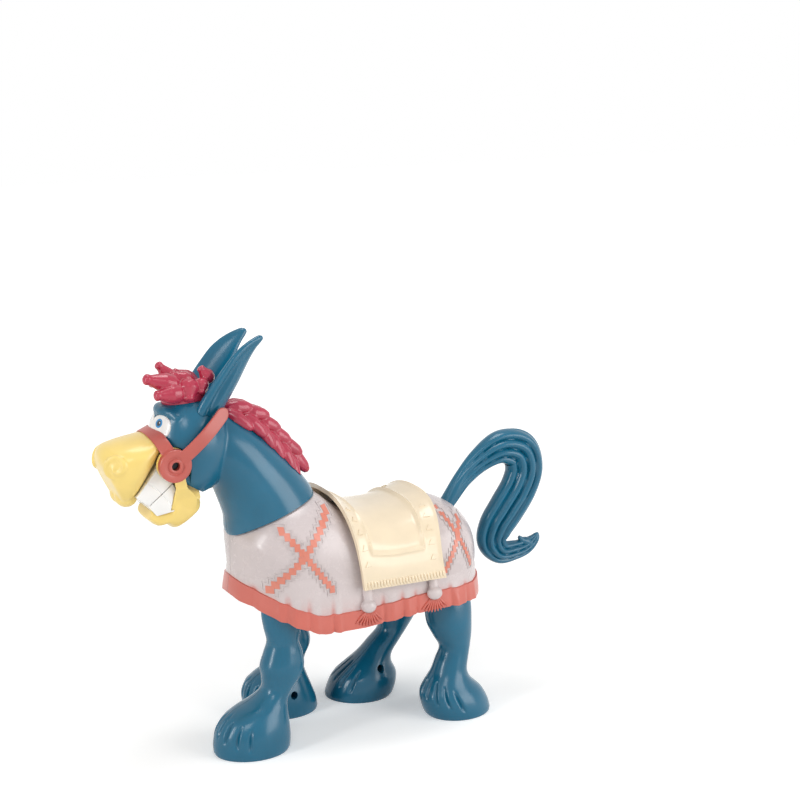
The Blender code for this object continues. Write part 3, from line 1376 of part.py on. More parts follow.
def make_batteries():
    half_length, half_width, ceiling = battery_box_size()
    cell_z = ceiling - FIT_GAP - CELL_RADIUS
    start = BOX_MIDDLE_X - CELL_LENGTH / 2
    for side, name in ((-1, "battery_cell_left"), (1, "battery_cell_right")):
        profile = (
            (0, CELL_RADIUS),
            (CELL_LENGTH - CELL_NIPPLE_LENGTH, CELL_RADIUS),
            (CELL_LENGTH - CELL_NIPPLE_LENGTH, CELL_NIPPLE_RADIUS),
            (CELL_LENGTH, CELL_NIPPLE_RADIUS),
        )
        centre = (start if side < 0 else start + CELL_LENGTH, CELL_Y * side, cell_z)
        finish(name, turned(centre, (-side, 0, 0), profile, ROUND_SIDES), "cell_jacket")
    for way, name in ((-1, "battery_contact_front"), (1, "battery_contact_rear")):
        near = BOX_MIDDLE_X + way * (CELL_LENGTH / 2 + FIT_GAP)
        far = near + way * CONTACT_THICKNESS
        low = (min(near, far), -CELL_Y - CONTACT_MARGIN, cell_z - CONTACT_MARGIN)
        high = (max(near, far), CELL_Y + CONTACT_MARGIN, cell_z + CONTACT_MARGIN)
        finish(name, box(low, high), "steel")
    door = box(
        (BOX_MIDDLE_X - half_length + FIT_GAP, -half_width + FIT_GAP, PAN_FLOOR_Z),
        (BOX_MIDDLE_X + half_length - FIT_GAP, half_width - FIT_GAP, PAN_FLOOR_Z + DOOR_THICKNESS),
    )
    hole = DOOR_SCREW_RADIUS + PIN_GAP
    bore = ((-DOOR_HOLE_RUN, hole), (DOOR_THICKNESS + DOOR_HOLE_RUN, hole))
    cut(door, turned((BOX_MIDDLE_X, 0, PAN_FLOOR_Z), (0, 0, 1), bore, SMALL_SIDES))
    finish("battery_door", door, "teal")
    profile = (
        (-DOOR_SCREW_HEAD, DOOR_SCREW_HEAD_RADIUS),
        (-FIT_GAP, DOOR_SCREW_HEAD_RADIUS),
        (-FIT_GAP, DOOR_SCREW_RADIUS),
        (DOOR_THICKNESS, DOOR_SCREW_RADIUS),
    )
    screw = turned((BOX_MIDDLE_X, 0, PAN_FLOOR_Z), (0, 0, 1), profile, SMALL_SIDES)
    finish("battery_door_screw", screw, "steel")


def make_switch():
    low = PAN_FLOOR_Z + PAN_FLOOR + FIT_GAP
    housing = box(
        (SWITCH_X - SWITCH_LENGTH / 2, -SWITCH_WIDTH / 2, low),
        (SWITCH_X + SWITCH_LENGTH / 2, SWITCH_WIDTH / 2, low + SWITCH_HEIGHT),
    )
    slot = (KNOB_LENGTH + KNOB_TRAVEL) / 2 + RUN_GAP
    cut(housing, box((SWITCH_X - slot, -KNOB_WIDTH / 2 - FIT_GAP, 0),
                     (SWITCH_X + slot, KNOB_WIDTH / 2 + FIT_GAP, low + SWITCH_HEIGHT / 2)))
    finish("switch_housing", housing, "black")
    rest = SWITCH_X - KNOB_TRAVEL / 2
    knob = box((rest - KNOB_LENGTH / 2, -KNOB_WIDTH / 2, PAN_FLOOR_Z - KNOB_DROP),
               (rest + KNOB_LENGTH / 2, KNOB_WIDTH / 2, low + SWITCH_HEIGHT / 2 - FIT_GAP))
    finish("switch_knob", knob, "black", (rest, 0, PAN_FLOOR_Z))


def gear_outline(teeth, phase):
    """A stub-toothed wheel as an outline round the origin; phase turns it by that share of a tooth."""
    pitch = GEAR_MODULE * teeth / 2
    tip, root = pitch + TOOTH_RISE * GEAR_MODULE, pitch - TOOTH_DEPTH * GEAR_MODULE
    rise = ((-TOOTH_ROOT_SHARE, root), (-TOOTH_TIP_SHARE, tip))
    fall = ((TOOTH_TIP_SHARE, tip), (TOOTH_ROOT_SHARE, root))
    outline = []
    for tooth in range(teeth):
        for share, radius in rise + fall:
            outline.append(polar(0, 0, radius, 360 / teeth * (tooth + phase + share)))
    return outline


def train_centres():
    """Centres of the crank wheel, the reduction wheel and the motor."""
    reach = GEAR_MODULE * (WHEEL_TEETH + PINION_TEETH) / 2
    first = (CRANK_X, CRANK_Z)
    second = polar(*first, reach, TRAIN_ANGLE)
    third = polar(*second, reach, -TRAIN_ANGLE)
    return first, second, third


def toothed(centre, teeth, phase, y0, y1):
    return slab([(centre[0] + x, centre[1] + z) for x, z in gear_outline(teeth, phase)], y0, y1)


def tooth_phase(teeth, degrees, gap):
    """The phase that puts a tooth, or a gap, on the line towards another wheel."""
    return degrees / (360 / teeth) + (0.5 if gap else 0.0)


def train_layers():
    """Where each wheel lies between the gearbox plates."""
    first = PLATE_LEFT_Y + PLATE_THICKNESS + RUN_GAP
    second = first + GEAR_THICKNESS + 2 * RUN_GAP
    return first, second


def make_drive():
    crank, middle, motor = train_centres()
    low, high = train_layers()
    axis_hole = AXLE_RADIUS + FIT_GAP
    disc_outer = CRANK_DISC_INNER_Y + CRANK_DISC_THICKNESS
    origin = (crank[0], 0, crank[1])
    finish("crank_axle", rod(*crank, AXLE_RADIUS, -disc_outer, disc_outer), "steel", origin)
    phase = tooth_phase(WHEEL_TEETH, TRAIN_ANGLE, False)
    wheel = toothed(crank, WHEEL_TEETH, phase, low, low + GEAR_THICKNESS)
    finish("crank_gear", cut(wheel, rod(*crank, axis_hole, -FAR, FAR)), "nylon", origin)
    for side, name in ((-1, "crank_disc_left"), (1, "crank_disc_right")):
        disc = rod(*crank, CRANK_DISC_RADIUS, CRANK_DISC_INNER_Y * side, disc_outer * side, ROUND_SIDES)
        near, far = (disc_outer - PIN_ROOT) * side, (ARM_INNER_Y - FIT_GAP) * side
        pin = rod(crank[0], crank[1] + CRANK_THROW * side, CRANK_PIN_RADIUS, near, far)
        cut(join(disc, pin), rod(*crank, axis_hole, -FAR, FAR))
        finish(name, disc, "nylon", origin)
    cam_outer = CAM_INNER_Y + CAM_THICKNESS
    cam = rod(crank[0] + CAM_OFFSET, crank[1], CAM_RADIUS, CAM_INNER_Y, cam_outer, ROUND_SIDES)
    finish("nod_cam", cut(cam, rod(*crank, axis_hole, -FAR, FAR)), "nylon", origin)

    origin = (middle[0], 0, middle[1])
    phase = tooth_phase(PINION_TEETH, TRAIN_ANGLE + 180, True)
    small = toothed(middle, PINION_TEETH, phase, low - RUN_GAP / 2, high + GEAR_THICKNESS / 2)
    phase = tooth_phase(WHEEL_TEETH, -TRAIN_ANGLE, False)
    large = toothed(middle, WHEEL_TEETH, phase, high, high + GEAR_THICKNESS)
    compound = cut(join(large, small), rod(*middle, axis_hole, -FAR, FAR))
    finish("reduction_gear", compound, "nylon", origin)
    axle = rod(*middle, AXLE_RADIUS, PLATE_LEFT_Y - AXLE_RUN, PLATE_RIGHT_Y + PLATE_THICKNESS + AXLE_RUN)
    finish("reduction_axle", axle, "steel", origin)

    origin = (motor[0], 0, motor[1])
    phase = tooth_phase(PINION_TEETH, 180 - TRAIN_ANGLE, True)
    pinion = toothed(motor, PINION_TEETH, phase, high, high + GEAR_THICKNESS)
    shaft = rod(*motor, MOTOR_SHAFT_RADIUS, PLATE_LEFT_Y - RUN_GAP - MOTOR_SHAFT_ROOT, high + AXLE_RUN)
    finish("motor_pinion", join(pinion, shaft), "steel", origin)
    make_motor(motor)
    make_plates(crank, middle, motor)


def make_motor(centre):
    """A can motor with two flat sides, its shaft end against the left plate."""
    end = PLATE_LEFT_Y - FIT_GAP
    can = rod(*centre, MOTOR_WIDTH / 2, end - MOTOR_LENGTH, end, ROUND_SIDES)
    keep = box((-FAR, -FAR, centre[1] - MOTOR_HEIGHT / 2), (FAR, FAR, centre[1] + MOTOR_HEIGHT / 2))
    combine(can, keep, "INTERSECT")
    cut(can, rod(*centre, MOTOR_SHAFT_RADIUS + PIN_GAP, PLATE_LEFT_Y - 2 * RUN_GAP - MOTOR_SHAFT_ROOT, FAR))
    finish("motor", can, "steel")


def make_plates(crank, middle, motor):
    ceiling = battery_box_size()[2] + BOX_WALL
    low = ceiling + FIT_GAP
    high = middle[1] + PLATE_MARGIN
    for y, name in ((PLATE_LEFT_Y, "gearbox_plate_left"), (PLATE_RIGHT_Y, "gearbox_plate_right")):
        plate = box((crank[0] - PLATE_MARGIN, y, low), (motor[0] + PLATE_MARGIN, y + PLATE_THICKNESS, high))
        for centre in (crank, middle):
            cut(plate, rod(*centre, AXLE_RADIUS + PIN_GAP, -FAR, FAR))
        cut(plate, rod(*motor, MOTOR_SHAFT_RADIUS + RUN_GAP, -FAR, FAR))
        finish(name, plate, "nylon")


def make_axles():
    reach = HIP_Y + FRONT_LEG[1][3] - AXLE_RECESS
    finish("front_hip_axle", rod(FRONT_HIP_X, FRONT_HIP_Z, HIP_PIN_RADIUS, -reach, reach), "steel")
    finish("hind_hip_axle", rod(HIND_HIP_X, HIND_HIP_Z, HIP_PIN_RADIUS, -reach, reach), "steel")
    axle = rod(NECK_PIVOT_X, NECK_PIVOT_Z, AXLE_RADIUS, -CHEEK_OUTER_Y, CHEEK_OUTER_Y)
    finish("neck_pivot_axle", axle, "steel")


def saddle_top(share):
    """Height of the saddle's ridge from its front edge to its rear edge."""
    dip = (2 * share - 1) ** 2
    end_top = SADDLE_FRONT_TOP_Z if share < 0.5 else SADDLE_REAR_TOP_Z
    return SADDLE_MID_TOP_Z + (end_top - SADDLE_MID_TOP_Z) * dip**SADDLE_FLARE_POWER


def saddle_spot(share, angle, inset):
    """A point of the saddle: share runs from front to rear, angle from its left edge to its right one."""
    up, out = powers(angle, SADDLE_POWER)
    front = SADDLE_FRONT_LOW_X + (SADDLE_FRONT_TOP_X - SADDLE_FRONT_LOW_X) * up
    waist = SADDLE_REAR_WAIST * (1 - (2 * up - 1) ** 2)
    rear = SADDLE_REAR_LOW_X + (SADDLE_REAR_TOP_X - SADDLE_REAR_LOW_X) * up - waist
    y = math.copysign(out, angle) * (SADDLE_HALF_WIDTH - inset)
    top = saddle_top(share) - inset
    return front + (rear - front) * share, y, SADDLE_LOW_Z + (top - SADDLE_LOW_Z) * up


def saddle_sheet(inset, shares, angles, rows, columns):
    """A stretch of the saddle's skin at a depth below its outside."""
    points, faces = [], []
    for row in range(rows + 1):
        share = shares[0] + (shares[1] - shares[0]) * row / rows
        for column in range(columns + 1):
            angle = math.radians(angles[0] + (angles[1] - angles[0]) * column / columns)
            points.append(saddle_spot(share, angle, inset))
    for row in range(rows):
        for column in range(columns):
            corner = row * (columns + 1) + column
            faces.append((corner, corner + 1, corner + columns + 2, corner + columns + 1))
    return points, faces


def saddle_slab(top, bottom, *stretch):
    """The saddle's wall between two depths over a stretch: its shares, its angles, rows and columns."""
    return walled(saddle_sheet(top, *stretch), saddle_sheet(bottom, *stretch))


def make_saddle():
    whole = ((0.0, 1.0), (-SADDLE_SIDE_ANGLE, SADDLE_SIDE_ANGLE), SADDLE_LONG_STEPS, SADDLE_ARCH_STEPS)
    saddle = saddle_slab(SADDLE_PANEL_SINK, SADDLE_THICKNESS, *whole)
    depth = SADDLE_THICKNESS / 2
    full = SADDLE_SIDE_ANGLE - SADDLE_RIM_ANGLE
    for shares in ((SADDLE_RIM, SADDLE_FRAME_FRONT), (SADDLE_FRAME_REAR, 1 - SADDLE_RIM)):
        join(saddle, saddle_slab(0.0, depth, shares, (-full, full), SADDLE_BORDER_ROWS, SADDLE_ARCH_STEPS))
    shares = (SADDLE_FRAME_FRONT / 2, (SADDLE_FRAME_REAR + 1) / 2)
    for side in (-1, 1):
        angles = sorted((SADDLE_FRAME_ANGLE * side, full * side))
        join(saddle, saddle_slab(0.0, depth, shares, angles, SADDLE_LONG_STEPS, SADDLE_BORDER_ROWS))
    for x in PEG_XS:
        foot = back_height(x) - PEG_LENGTH
        share = (x - SADDLE_FRONT_TOP_X) / (SADDLE_REAR_TOP_X - SADDLE_FRONT_TOP_X)
        head = saddle_top(share) - SADDLE_THICKNESS / 2
        join(saddle, turned((x, 0, 0), (0, 0, 1), ((foot, PEG_RADIUS), (head, PEG_RADIUS)), SMALL_SIDES))
    finish("saddle", saddle, "cream")


def main():
    for old in list(bpy.data.objects):
        bpy.data.objects.remove(old)
    for side in (-1, 1):
        make_body_shell(side)
    make_shell_screws()
    make_belly_pan()
    make_batteries()
    make_switch()
    make_drive()
    make_axles()
    make_saddle()
    for side in (-1, 1):
        make_head_shell(side)
    make_neck_tang()
    make_muzzle()
    make_upper_teeth()
    make_lower_jaw()
    make_lower_teeth()
    make_jaw_screws()
    make_bridle()
    make_eyes()
    make_ears()
    make_forelock()
    make_mane()
    make_tail()
    for front in (True, False):
        for side in (-1, 1):
            make_leg(front, side)


main()
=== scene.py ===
"""Looks of a battery-operated toy donkey: glossy moulded plastics, a painted blanket and a studio stage.

The file is laid out as an add-on and is run as a script. The shape functions work in millimetres in the
frame of the CAD model: the donkey faces -X, its left side is -Y and +Z is up. MM turns them to metres.
"""

import json
import math

import bmesh
import bpy
import numpy as np
from bpy.props import FloatProperty, FloatVectorProperty, IntProperty, PointerProperty
from mathutils import Matrix, Vector
from mathutils.bvhtree import BVHTree


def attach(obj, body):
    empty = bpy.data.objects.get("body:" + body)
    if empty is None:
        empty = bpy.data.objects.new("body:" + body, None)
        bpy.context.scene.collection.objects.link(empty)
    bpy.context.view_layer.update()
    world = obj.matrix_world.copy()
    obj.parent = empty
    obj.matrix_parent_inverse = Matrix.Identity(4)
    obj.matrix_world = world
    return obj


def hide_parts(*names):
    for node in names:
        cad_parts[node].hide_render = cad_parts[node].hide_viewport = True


bl_info = {
    "name": "Toy Donkey Looks",
    "version": (1, 0, 0),
    "blender": (4, 5, 0),
    "location": "View3D > Sidebar > Toy Donkey",
    "description": "Builds the moulded skins, painted pattern and stage of a walking toy donkey",
    "category": "Object",
}

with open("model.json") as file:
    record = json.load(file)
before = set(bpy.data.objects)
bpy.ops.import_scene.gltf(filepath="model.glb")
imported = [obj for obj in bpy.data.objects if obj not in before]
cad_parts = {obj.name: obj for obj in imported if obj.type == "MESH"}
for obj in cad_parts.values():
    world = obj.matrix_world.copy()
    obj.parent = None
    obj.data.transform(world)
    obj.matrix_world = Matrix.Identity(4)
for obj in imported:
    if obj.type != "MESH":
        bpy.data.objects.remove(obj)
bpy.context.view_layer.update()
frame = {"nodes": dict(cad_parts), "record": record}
MM = 0.001
FAR = 200.0
FIT_GAP = 0.3
RUN_GAP = 0.6
PIN_GAP = 0.35
MERGE_DISTANCE = 0.002
POLE_TILT = 87.0
STEEPEST_DRAPE = 0.22
BOTH_SIDES = ((-1, "left"), (1, "right"))
# Angles in degrees from which an edge is shaded as sharp
SHARP_EMBOSSED, SHARP_STRAP, SHARP_SHEET = 30.0, 35.0, 40.0
SHARP_SKIN, SHARP_TILE, SHARP_ROUND = 45.0, 50.0, 60.0
# Rows and sides of the finer meshes
HEAD_MESH, EYE_MESH, KNOB_MESH = (40, 64), (28, 40), (20, 28)
NECK_MESH, MUZZLE_MESH, JAW_MESH = (60, 72), (60, 72), (48, 64)
HOLLOW_ROWS, FOOT_ROWS = 40, 12
HUB_SIDES, DISC_SIDES = 64, 72

# Stage
CAMERA_PLACE = (-0.4563, -0.9727, 0.4499)
CAMERA_TURN = (77.0, 0.0, -27.3)
LENS, SENSOR = 82.5, 36.0
# Lamps: place, aim, width and height in metres, and power in watts
LAMPS = (
    ("key softbox", (-0.75, -1.15, 1.25), (0.0, 0.0, 0.12), (0.45, 0.45), 3.2),
    ("top softbox", (0.1, 0.1, 1.5), (0.0, 0.0, 0.1), (0.6, 0.6), 6.4),
    ("right softbox", (0.85, -0.95, 0.5), (0.0, 0.0, 0.14), (0.9, 0.9), 9.2),
    ("left strip", (-1.1, -0.25, 0.5), (-0.05, 0.0, 0.12), (0.18, 0.7), 4.5),
)
SURROUND_LIGHT = 0.36
FLOOR_REACH = 3000.0
# Glow of the paper: it grows from the first to the second distance in metres, between the two strengths
FLOOR_GLOW = {1: 0.3, 2: 1.2, 3: 0.3, 4: 0.9}

# Finishes: roughness, mottle of the colour, strength of the orange peel and weight of the clear coat
FINISH = {
    "teal_abs": (0.24, 0.07, 0.1, 0.06),
    "coral_lacquer": (0.3, 0.04, 0.07, 0.15),
    "salmon_lacquer": (0.3, 0.06, 0.12, 0.15),
    "cream_abs": (0.24, 0.04, 0.1, 0.3),
    "yellow_abs_satin": (0.3, 0.05, 0.05, 0.2),
    "white_abs": (0.18, 0.02, 0.06, 0.4),
    "bridle_abs_satin": (0.34, 0.08, 0.14, 0.12),
    "crimson_abs": (0.26, 0.08, 0.1, 0.25),
    "natural_nylon": (0.42, 0.04, 0.2, 0.0),
    "black_nylon": (0.45, 0.1, 0.2, 0.0),
    "printed_cell_jacket": (0.3, 0.06, 0.05, 0.3),
    "mauve_abs_sprayed": (0.27, 0.025, 0.08, 0.1),
    "white_gloss_printed_iris": (0.14, 0.02, 0.04, 0.6),
    "zinc_plated_steel": (0.32, 0.12, 0.08, 0.0),
    "black_oxide_steel": (0.32, 0.12, 0.08, 0.0),
}
ABS_SHINE = {"IOR": 1.53, "Specular IOR Level": 0.42}
# Grain in millimetres: flow marks, rubbed patches, orange peel, drifted paint and paper fibre
FLOW_GRAIN, RUB_GRAIN, PEEL_GRAIN, SPRAY_GRAIN, FIBRE_GRAIN = 14.0, 5.0, 1.6, 2.5, 3.0
PEEL_DEPTH = 0.15
# Spread of the noise that is used for flow marks and rubbed patches, and how far the gloss varies
FLOW_SPREAD, RUB_SPREAD = (0.3, 0.7), (0.35, 0.75)
GLOSS_RANGE = (0.92, 1.12)
COAT_ROUGHNESS, SPRAYED_COAT_ROUGHNESS, EYE_COAT_ROUGHNESS = 0.08, 0.1, 0.04
FIBRE_RANGE = (0.99, 1.0)
SPRAY_GAIN = 1.5
# Voxel size and smoothing passes of the skins that are melted together
MELT = {
    "head": (0.7, 7),
    "muzzle": (0.5, 6),
    "jaw": (0.5, 10),
    "forelock": (0.42, 4),
    "mane": (0.42, 2),
    "tassels": (0.45, 4),
}

# Blanket body, as in the CAD
NECK_PIVOT = (-30.0, 106.0)
SHOULDER_RADIUS = 44.0
WITHERS_ANGLE = 66.0
BACK_DIP = (8.0, 126.0)
RUMP_CORE = (58.0, 95.0)
RUMP_TOP_Z = 134.5
RUMP_DEPTH = 34.0
CHEST_DEPTH = 38.0
BODY_HALF_WIDTH = 41.0
BODY_WALL = 2.0
BODY_POWER = 2.6
CHEST_POWER = 1.8
CHEST_BLEND_ANGLE = 115.0
RUMP_POWER = 2.3
RUMP_PLAN_POWER = 2.0
ARC_STEPS, RIDGE_STEPS, RUMP_STEPS, SIDE_STEPS = 32, 120, 32, 60
SHELL_BOSSES = ((-59.0, 113.0), (79.0, 108.0))
SHELL_WELL = (3.15, 8.0)
# Slot for the neck's tang: angles on the shoulder, half width and lower end
NECK_SLOT_ANGLES = (143.4, 94.0)
NECK_SLOT = (6.7, 120.7)
# Hem: its height, and how it rises to the front (start, run, power, rise) and to the rear (run, rise)
HEM_Z = 72.0
HEM_FRONT = (-25.0, 49.0, 1.25, 23.0)
HEM_REAR = (45.0, 4.0)
HEM_WAVE = 0.25
# Rounding of the hem's lower edge: level where it starts, its run and depth
HEM_ROUND = (1.7, 0.3, 0.4)
SKIRT_ROWS, BAND_ROWS, BAND_STEP = 20, 10, 0.03
# How far the skirt spreads at its hem, along and across the body
SKIRT_FLARE = (1.5, 3.0)
FOLD_START = 0.25
SPRAY_START = 0.45
SPRAY_HOLLOW = 0.25
PLEAT_FADE_Y = 14.0
# Pleats of the hem: place along X, half width and how far they stand out
PLEATS = (
    (-66.0, 1.6, 0.9), (-61.5, 1.2, -0.9), (-50.0, 1.5, 0.8), (-46.5, 1.1, -1.1), (-42.0, 1.7, 0.9),
    (-35.0, 1.1, -1.1), (-30.5, 1.9, 0.7), (-20.0, 1.1, -1.2), (-16.5, 1.5, 0.8), (12.5, 1.2, -1.1),
    (19.0, 2.2, 0.7), (25.5, 1.1, -1.2), (29.0, 1.6, 0.8), (34.5, 1.0, -0.9), (58.0, 1.2, -1.0),
    (62.5, 1.8, 0.8), (70.0, 1.1, -1.0), (77.0, 1.8, 0.8),
)
# Stepped crosses: the ends of both arms in the side view and the squares along each arm
CROSSES = (
    (((-55.2, 99.8), (-17.5, 142.3), 15), ((-47.8, 134.6), (-20.7, 98.4), 13)),
    (((55.6, 98.6), (75.0, 131.0), 12), ((60.6, 130.6), (75.8, 98.8), 12)),
)
SQUARE_REACH = 0.72
# Squares overlap at their corners, so every second one and the second arm stand a hair higher
SQUARE_STEP, ARM_STEP = 0.02, 0.04
OUTLINE_CELLS = 2
OUTLINE_LIFT = 0.16
OUTLINE_WIDTH = 0.5
PATTERN_ROOT = 0.4
PATTERN_CLEAR = 0.8
# Tassels: bobbles in the side view, their stems, and the fans of ribs below them
BOBBLES = ((2.1, 84.9), (46.3, 86.3))
KNOB_RADII = (4.9, 4.0, 4.2)
KNOB_RISE = 1.4
STEM_LENGTH = 10.5
STEM_RISE = 0.8
STEM_WIDTHS = (3.4, 2.8)
STEM_DEPTH = 2.2
STEM_ROWS = 10
FAN_TOP = (2.6, 3.4)
FAN_FOOT = (8.4, 11.4)
FAN_BOW = 2.4
FAN_RISE = 0.3
FAN_CLEAR = 3.0
FAN_RIB = (9.6, 1.5, 2.2)

# Saddle pad, as in the CAD
SADDLE_FRONT = (-2.0, -8.5)
SADDLE_REAR = (53.0, 56.0)
SADDLE_REAR_WAIST = 4.0
SADDLE_HALF_WIDTH = 47.0
SADDLE_LOW_Z = 96.0
SADDLE_MID_TOP_Z = 136.4
SADDLE_FRONT_TOP_Z = 148.5
SADDLE_REAR_TOP_Z = 141.5
SADDLE_THICKNESS = 2.0
SADDLE_POWER = 2.6
SADDLE_FLARE_POWER = 1.15
SADDLE_LENGTH = 60.0
# Panel of the saddle: where it starts and ends along the pad, and its lower edge above the pad's edge
PANEL = (10.2, 47.4)
PANEL_EDGE = 20.0
BEAD_WIDTH = 1.1
BORDER_RISE = 0.7
# Rim at both ends: rise and width
RIM = (0.5, 1.4)
SADDLE_SINK = 0.5
SADDLE_ROWS, SADDLE_COLUMNS, SADDLE_FINE = 110, 181, 1201
SHARE_STEP, ANGLE_STEP = 0.01, 0.02
# Pegs: place along X and lower end
SADDLE_PEGS = ((6.0, 126.0), (36.0, 123.5))
PEG_RADIUS, PEG_TOP_Z, PEG_SIDES = 2.2, 136.0, 24
PEG_HOLE_RADIUS, PEG_HOLE_LOW_Z = 2.55, 95.0
# Fringe: share left free at each end, the two angles that give a rib's way, its rise and its size
FRINGE_END = 0.02
FRINGE_WAY = (0.004, 0.02)
FRINGE_RISE = 2.2
FRINGE_RIB = (5.2, 2.0, 2.0)
# Embossed triangles: places along the pad and up from its edge, and size
TRIANGLE_SHARES = (0.09, 0.89)
TRIANGLE_RUNS = (13.0, 21.5, 30.0, 38.5, 47.0)
TRIANGLE_SIZE = (5.6, 5.6, 1.0)
TRIANGLE_TOP = 0.72
TRIANGLE_SINK = 0.2
TRIANGLE_STEPS = 400
TRIANGLE_AHEAD, TRIANGLE_ALONG = 0.97, 0.02
RIB_TREES = {0: "Ribs on a path", 3: "Pyramids on a path"}

# Neck and head, as in the CAD: top and bottom of each section in the middle plane, and its half width
NECK_RINGS = (
    ((-19.0, 137.5), (-58.0, 121.0), 26.0),
    ((-15.5, 148.5), (-68.8, 127.0), 27.0),
    ((-23.0, 161.0), (-70.5, 138.3), 25.5),
    ((-36.0, 175.5), (-74.5, 150.0), 23.5),
    ((-50.0, 189.0), (-79.0, 160.0), 21.5),
    ((-64.0, 200.0), (-88.0, 168.0), 18.0),
    ((-76.0, 205.0), (-94.0, 180.0), 12.0),
)
NECK_FOOT = ((-17.0, 118.0), (-46.0, 106.0), 22.0)
HEAD_CENTRE = (-92.5, 0.0, 186.0)
HEAD_RADII = (24.5, 23.5, 31.5)
HEAD_WALL = 2.0
NECK_CLEAR = 0.9
BARREL_STEPS, BARREL_ANGLE, BARREL_SIDES = 30, 86.0, 120
MOUTH_LINE = ((-88.0, 154.0), (-110.0, 172.0))
MOUTH_LINE_RUN = 6.0
CHEEK_RELIEF = (12.0, 7.0)
JAW_PIVOT = (-109.4, 180.0)
JAW_HUB_RADIUS = 9.6
JAW_HUB_Y = (18.0, 20.6)
JAW_PIN_RADIUS = 1.5
THROAT = ((-104.0, -12.0, 0.0), (-81.5, 12.0, 166.0))
# Arm of the jaw: drop below the pivot, shift, half depth, inner and outer face
JAW_ARM_LEVELS = (
    (0.0, 2.0, 3.4, 18.0, 20.6), (15.0, 5.2, 3.4, 17.7, 20.3), (19.0, 7.2, 5.6, 15.0, 18.4),
    (22.0, 8.4, 7.4, 13.0, 17.0), (28.0, 7.6, 8.0, 11.0, 15.6), (33.0, 6.0, 6.0, 9.0, 13.0),
)
JAW_SEAT_DEPTH = 3.4
JAW_SEAT_GAP = 0.4
JAW_SEAT_SWING = 16.0
JAW_RINGS = (
    ((-90.0, 155.4), (-89.2, 151.4), 9.5),
    ((-93.5, 157.2), (-92.0, 147.4), 14.0),
    ((-99.0, 161.2), (-99.5, 141.5), 15.5),
    ((-104.5, 164.6), (-106.0, 139.0), 16.6),
    ((-107.5, 153.0), (-111.5, 142.4), 16.4),
    ((-113.5, 151.5), (-117.0, 142.0), 15.2),
    ((-119.5, 152.0), (-121.5, 146.0), 11.5),
)
JAW_POWERS = (3.4, 3.4)
CHIN_LIP = ((-116.4, 0.0, 148.4), (4.0, 9.0, 5.0))
JAW_WEB = (
    (-104.5, 165.0), (-103.5, 171.4), (-97.0, 166.2), (-90.8, 161.0),
    (-89.8, 156.0), (-92.0, 151.0), (-100.0, 149.0),
)
JAW_WEB_Y = (9.2, 11.4)
MUZZLE_RINGS = (
    ((-110.0, 196.5), (-106.0, 186.0), 14.5),
    ((-119.5, 195.4), (-113.0, 183.5), 17.0),
    ((-129.0, 194.0), (-117.5, 177.0), 20.0),
    ((-138.0, 192.4), (-122.5, 168.5), 20.5),
    ((-145.0, 190.0), (-128.0, 159.5), 18.5),
    ((-147.8, 182.5), (-133.5, 155.4), 14.5),
    ((-143.4, 172.0), (-136.0, 156.5), 10.0),
    ((-140.6, 167.0), (-138.2, 160.5), 5.5),
)
MUZZLE_POWERS = (1.7, 2.5)
LIP_CENTRE = (-132.8, 4.0, 160.8)
LIP_RADII = (6.6, 7.6, 6.6)
# Nostril: a swirl seen along NOSTRIL_LOOK, from its outer to its inner radius
NOSTRIL_CENTRE = (-141.8, 16.5, 181.2)
NOSTRIL_LOOK = (-0.42, 0.9, 0.1)
NOSTRIL_RADII = (6.9, 2.4)
NOSTRIL_TURNS = (-75.0, 420.0)
NOSTRIL_STEPS = 60
NOSTRIL_SHARES = (0.0, 0.1, 0.75, 1.0)
NOSTRIL_GIRTH = (0.7, 1.9, 1.7, 0.8)
NOSTRIL_FLATNESS = 0.6
TEETH_HALF_WIDTH = 16.0
TOOTH_CORE = 0.97
TOOTH_INSET = 0.15
TOOTH_ROUND = 0.6
UPPER_TEETH = ((-108.2, 167.9), (-123.2, 155.9), (-130.5, 161.6), (-112.5, 184.0))
LOWER_TEETH = ((-108.0, 167.5), (-123.0, 155.5), (-118.5, 149.5), (-101.5, 152.0))
# Seams of a row: their places along the bite and along the root of the teeth
UPPER_SEAMS = ((0.0, 0.0), (0.46, 0.62), (1.0, 1.0))
LOWER_SEAMS = ((0.0, 0.0), (0.46, 0.3), (1.0, 1.0))
TOOTH_GAP = 0.006
TOOTH_SPLIT = 7.8
# Brow: centre line and half thickness
BROW_LINE = (
    (-108.2, 0.0, 207.0, 4.2), (-107.6, 5.0, 207.2, 4.0),
    (-105.4, 10.0, 206.6, 3.2), (-103.2, 14.6, 204.2, 2.4),
)
BROW_ROWS = 24
BROW_LEAN = (0.3, 0, 1)
EYE_CENTRE = (-109.6, 6.2, 198.4)
EYE_RADII = (9.0, 8.4, 7.9)
# The white stands so far proud of the head and meets the other at the middle plane
EYE_RISE = 0.25
EYE_SPLIT = 0.05
IRIS_SPOT = (-112.7, 7.0, 201.8)
# Rings of the eye: radius and soft edge of the printed iris, its rim and the pupil, and of the glint, a
# painted highlight that stands for a lamp's reflection
EYE_RINGS = ((2.75, 0.12), (1.75, 0.15), (1.05, 0.1), (0.42, 0.08))
# Shift of the painted highlight from the iris centre, in millimetres
PAINTED_GLINT_SHIFT = (-0.3, 0.5, 0.35)
NOSEBAND_TOP = (-115.8, 195.0)
NOSEBAND_POWER = 2.2
NOSEBAND_RISE = 0.9
NOSEBAND_STEPS = 65
NOSEBAND_TURN = 0.2
STRAP_WIDTH = 7.8
STRAP_THICKNESS = 1.8
STRAP_POWER = 7.0
STRAP_SIDES = 28
STRAP_ROUND = 0.1
STRAP_FULLEST = 0.98
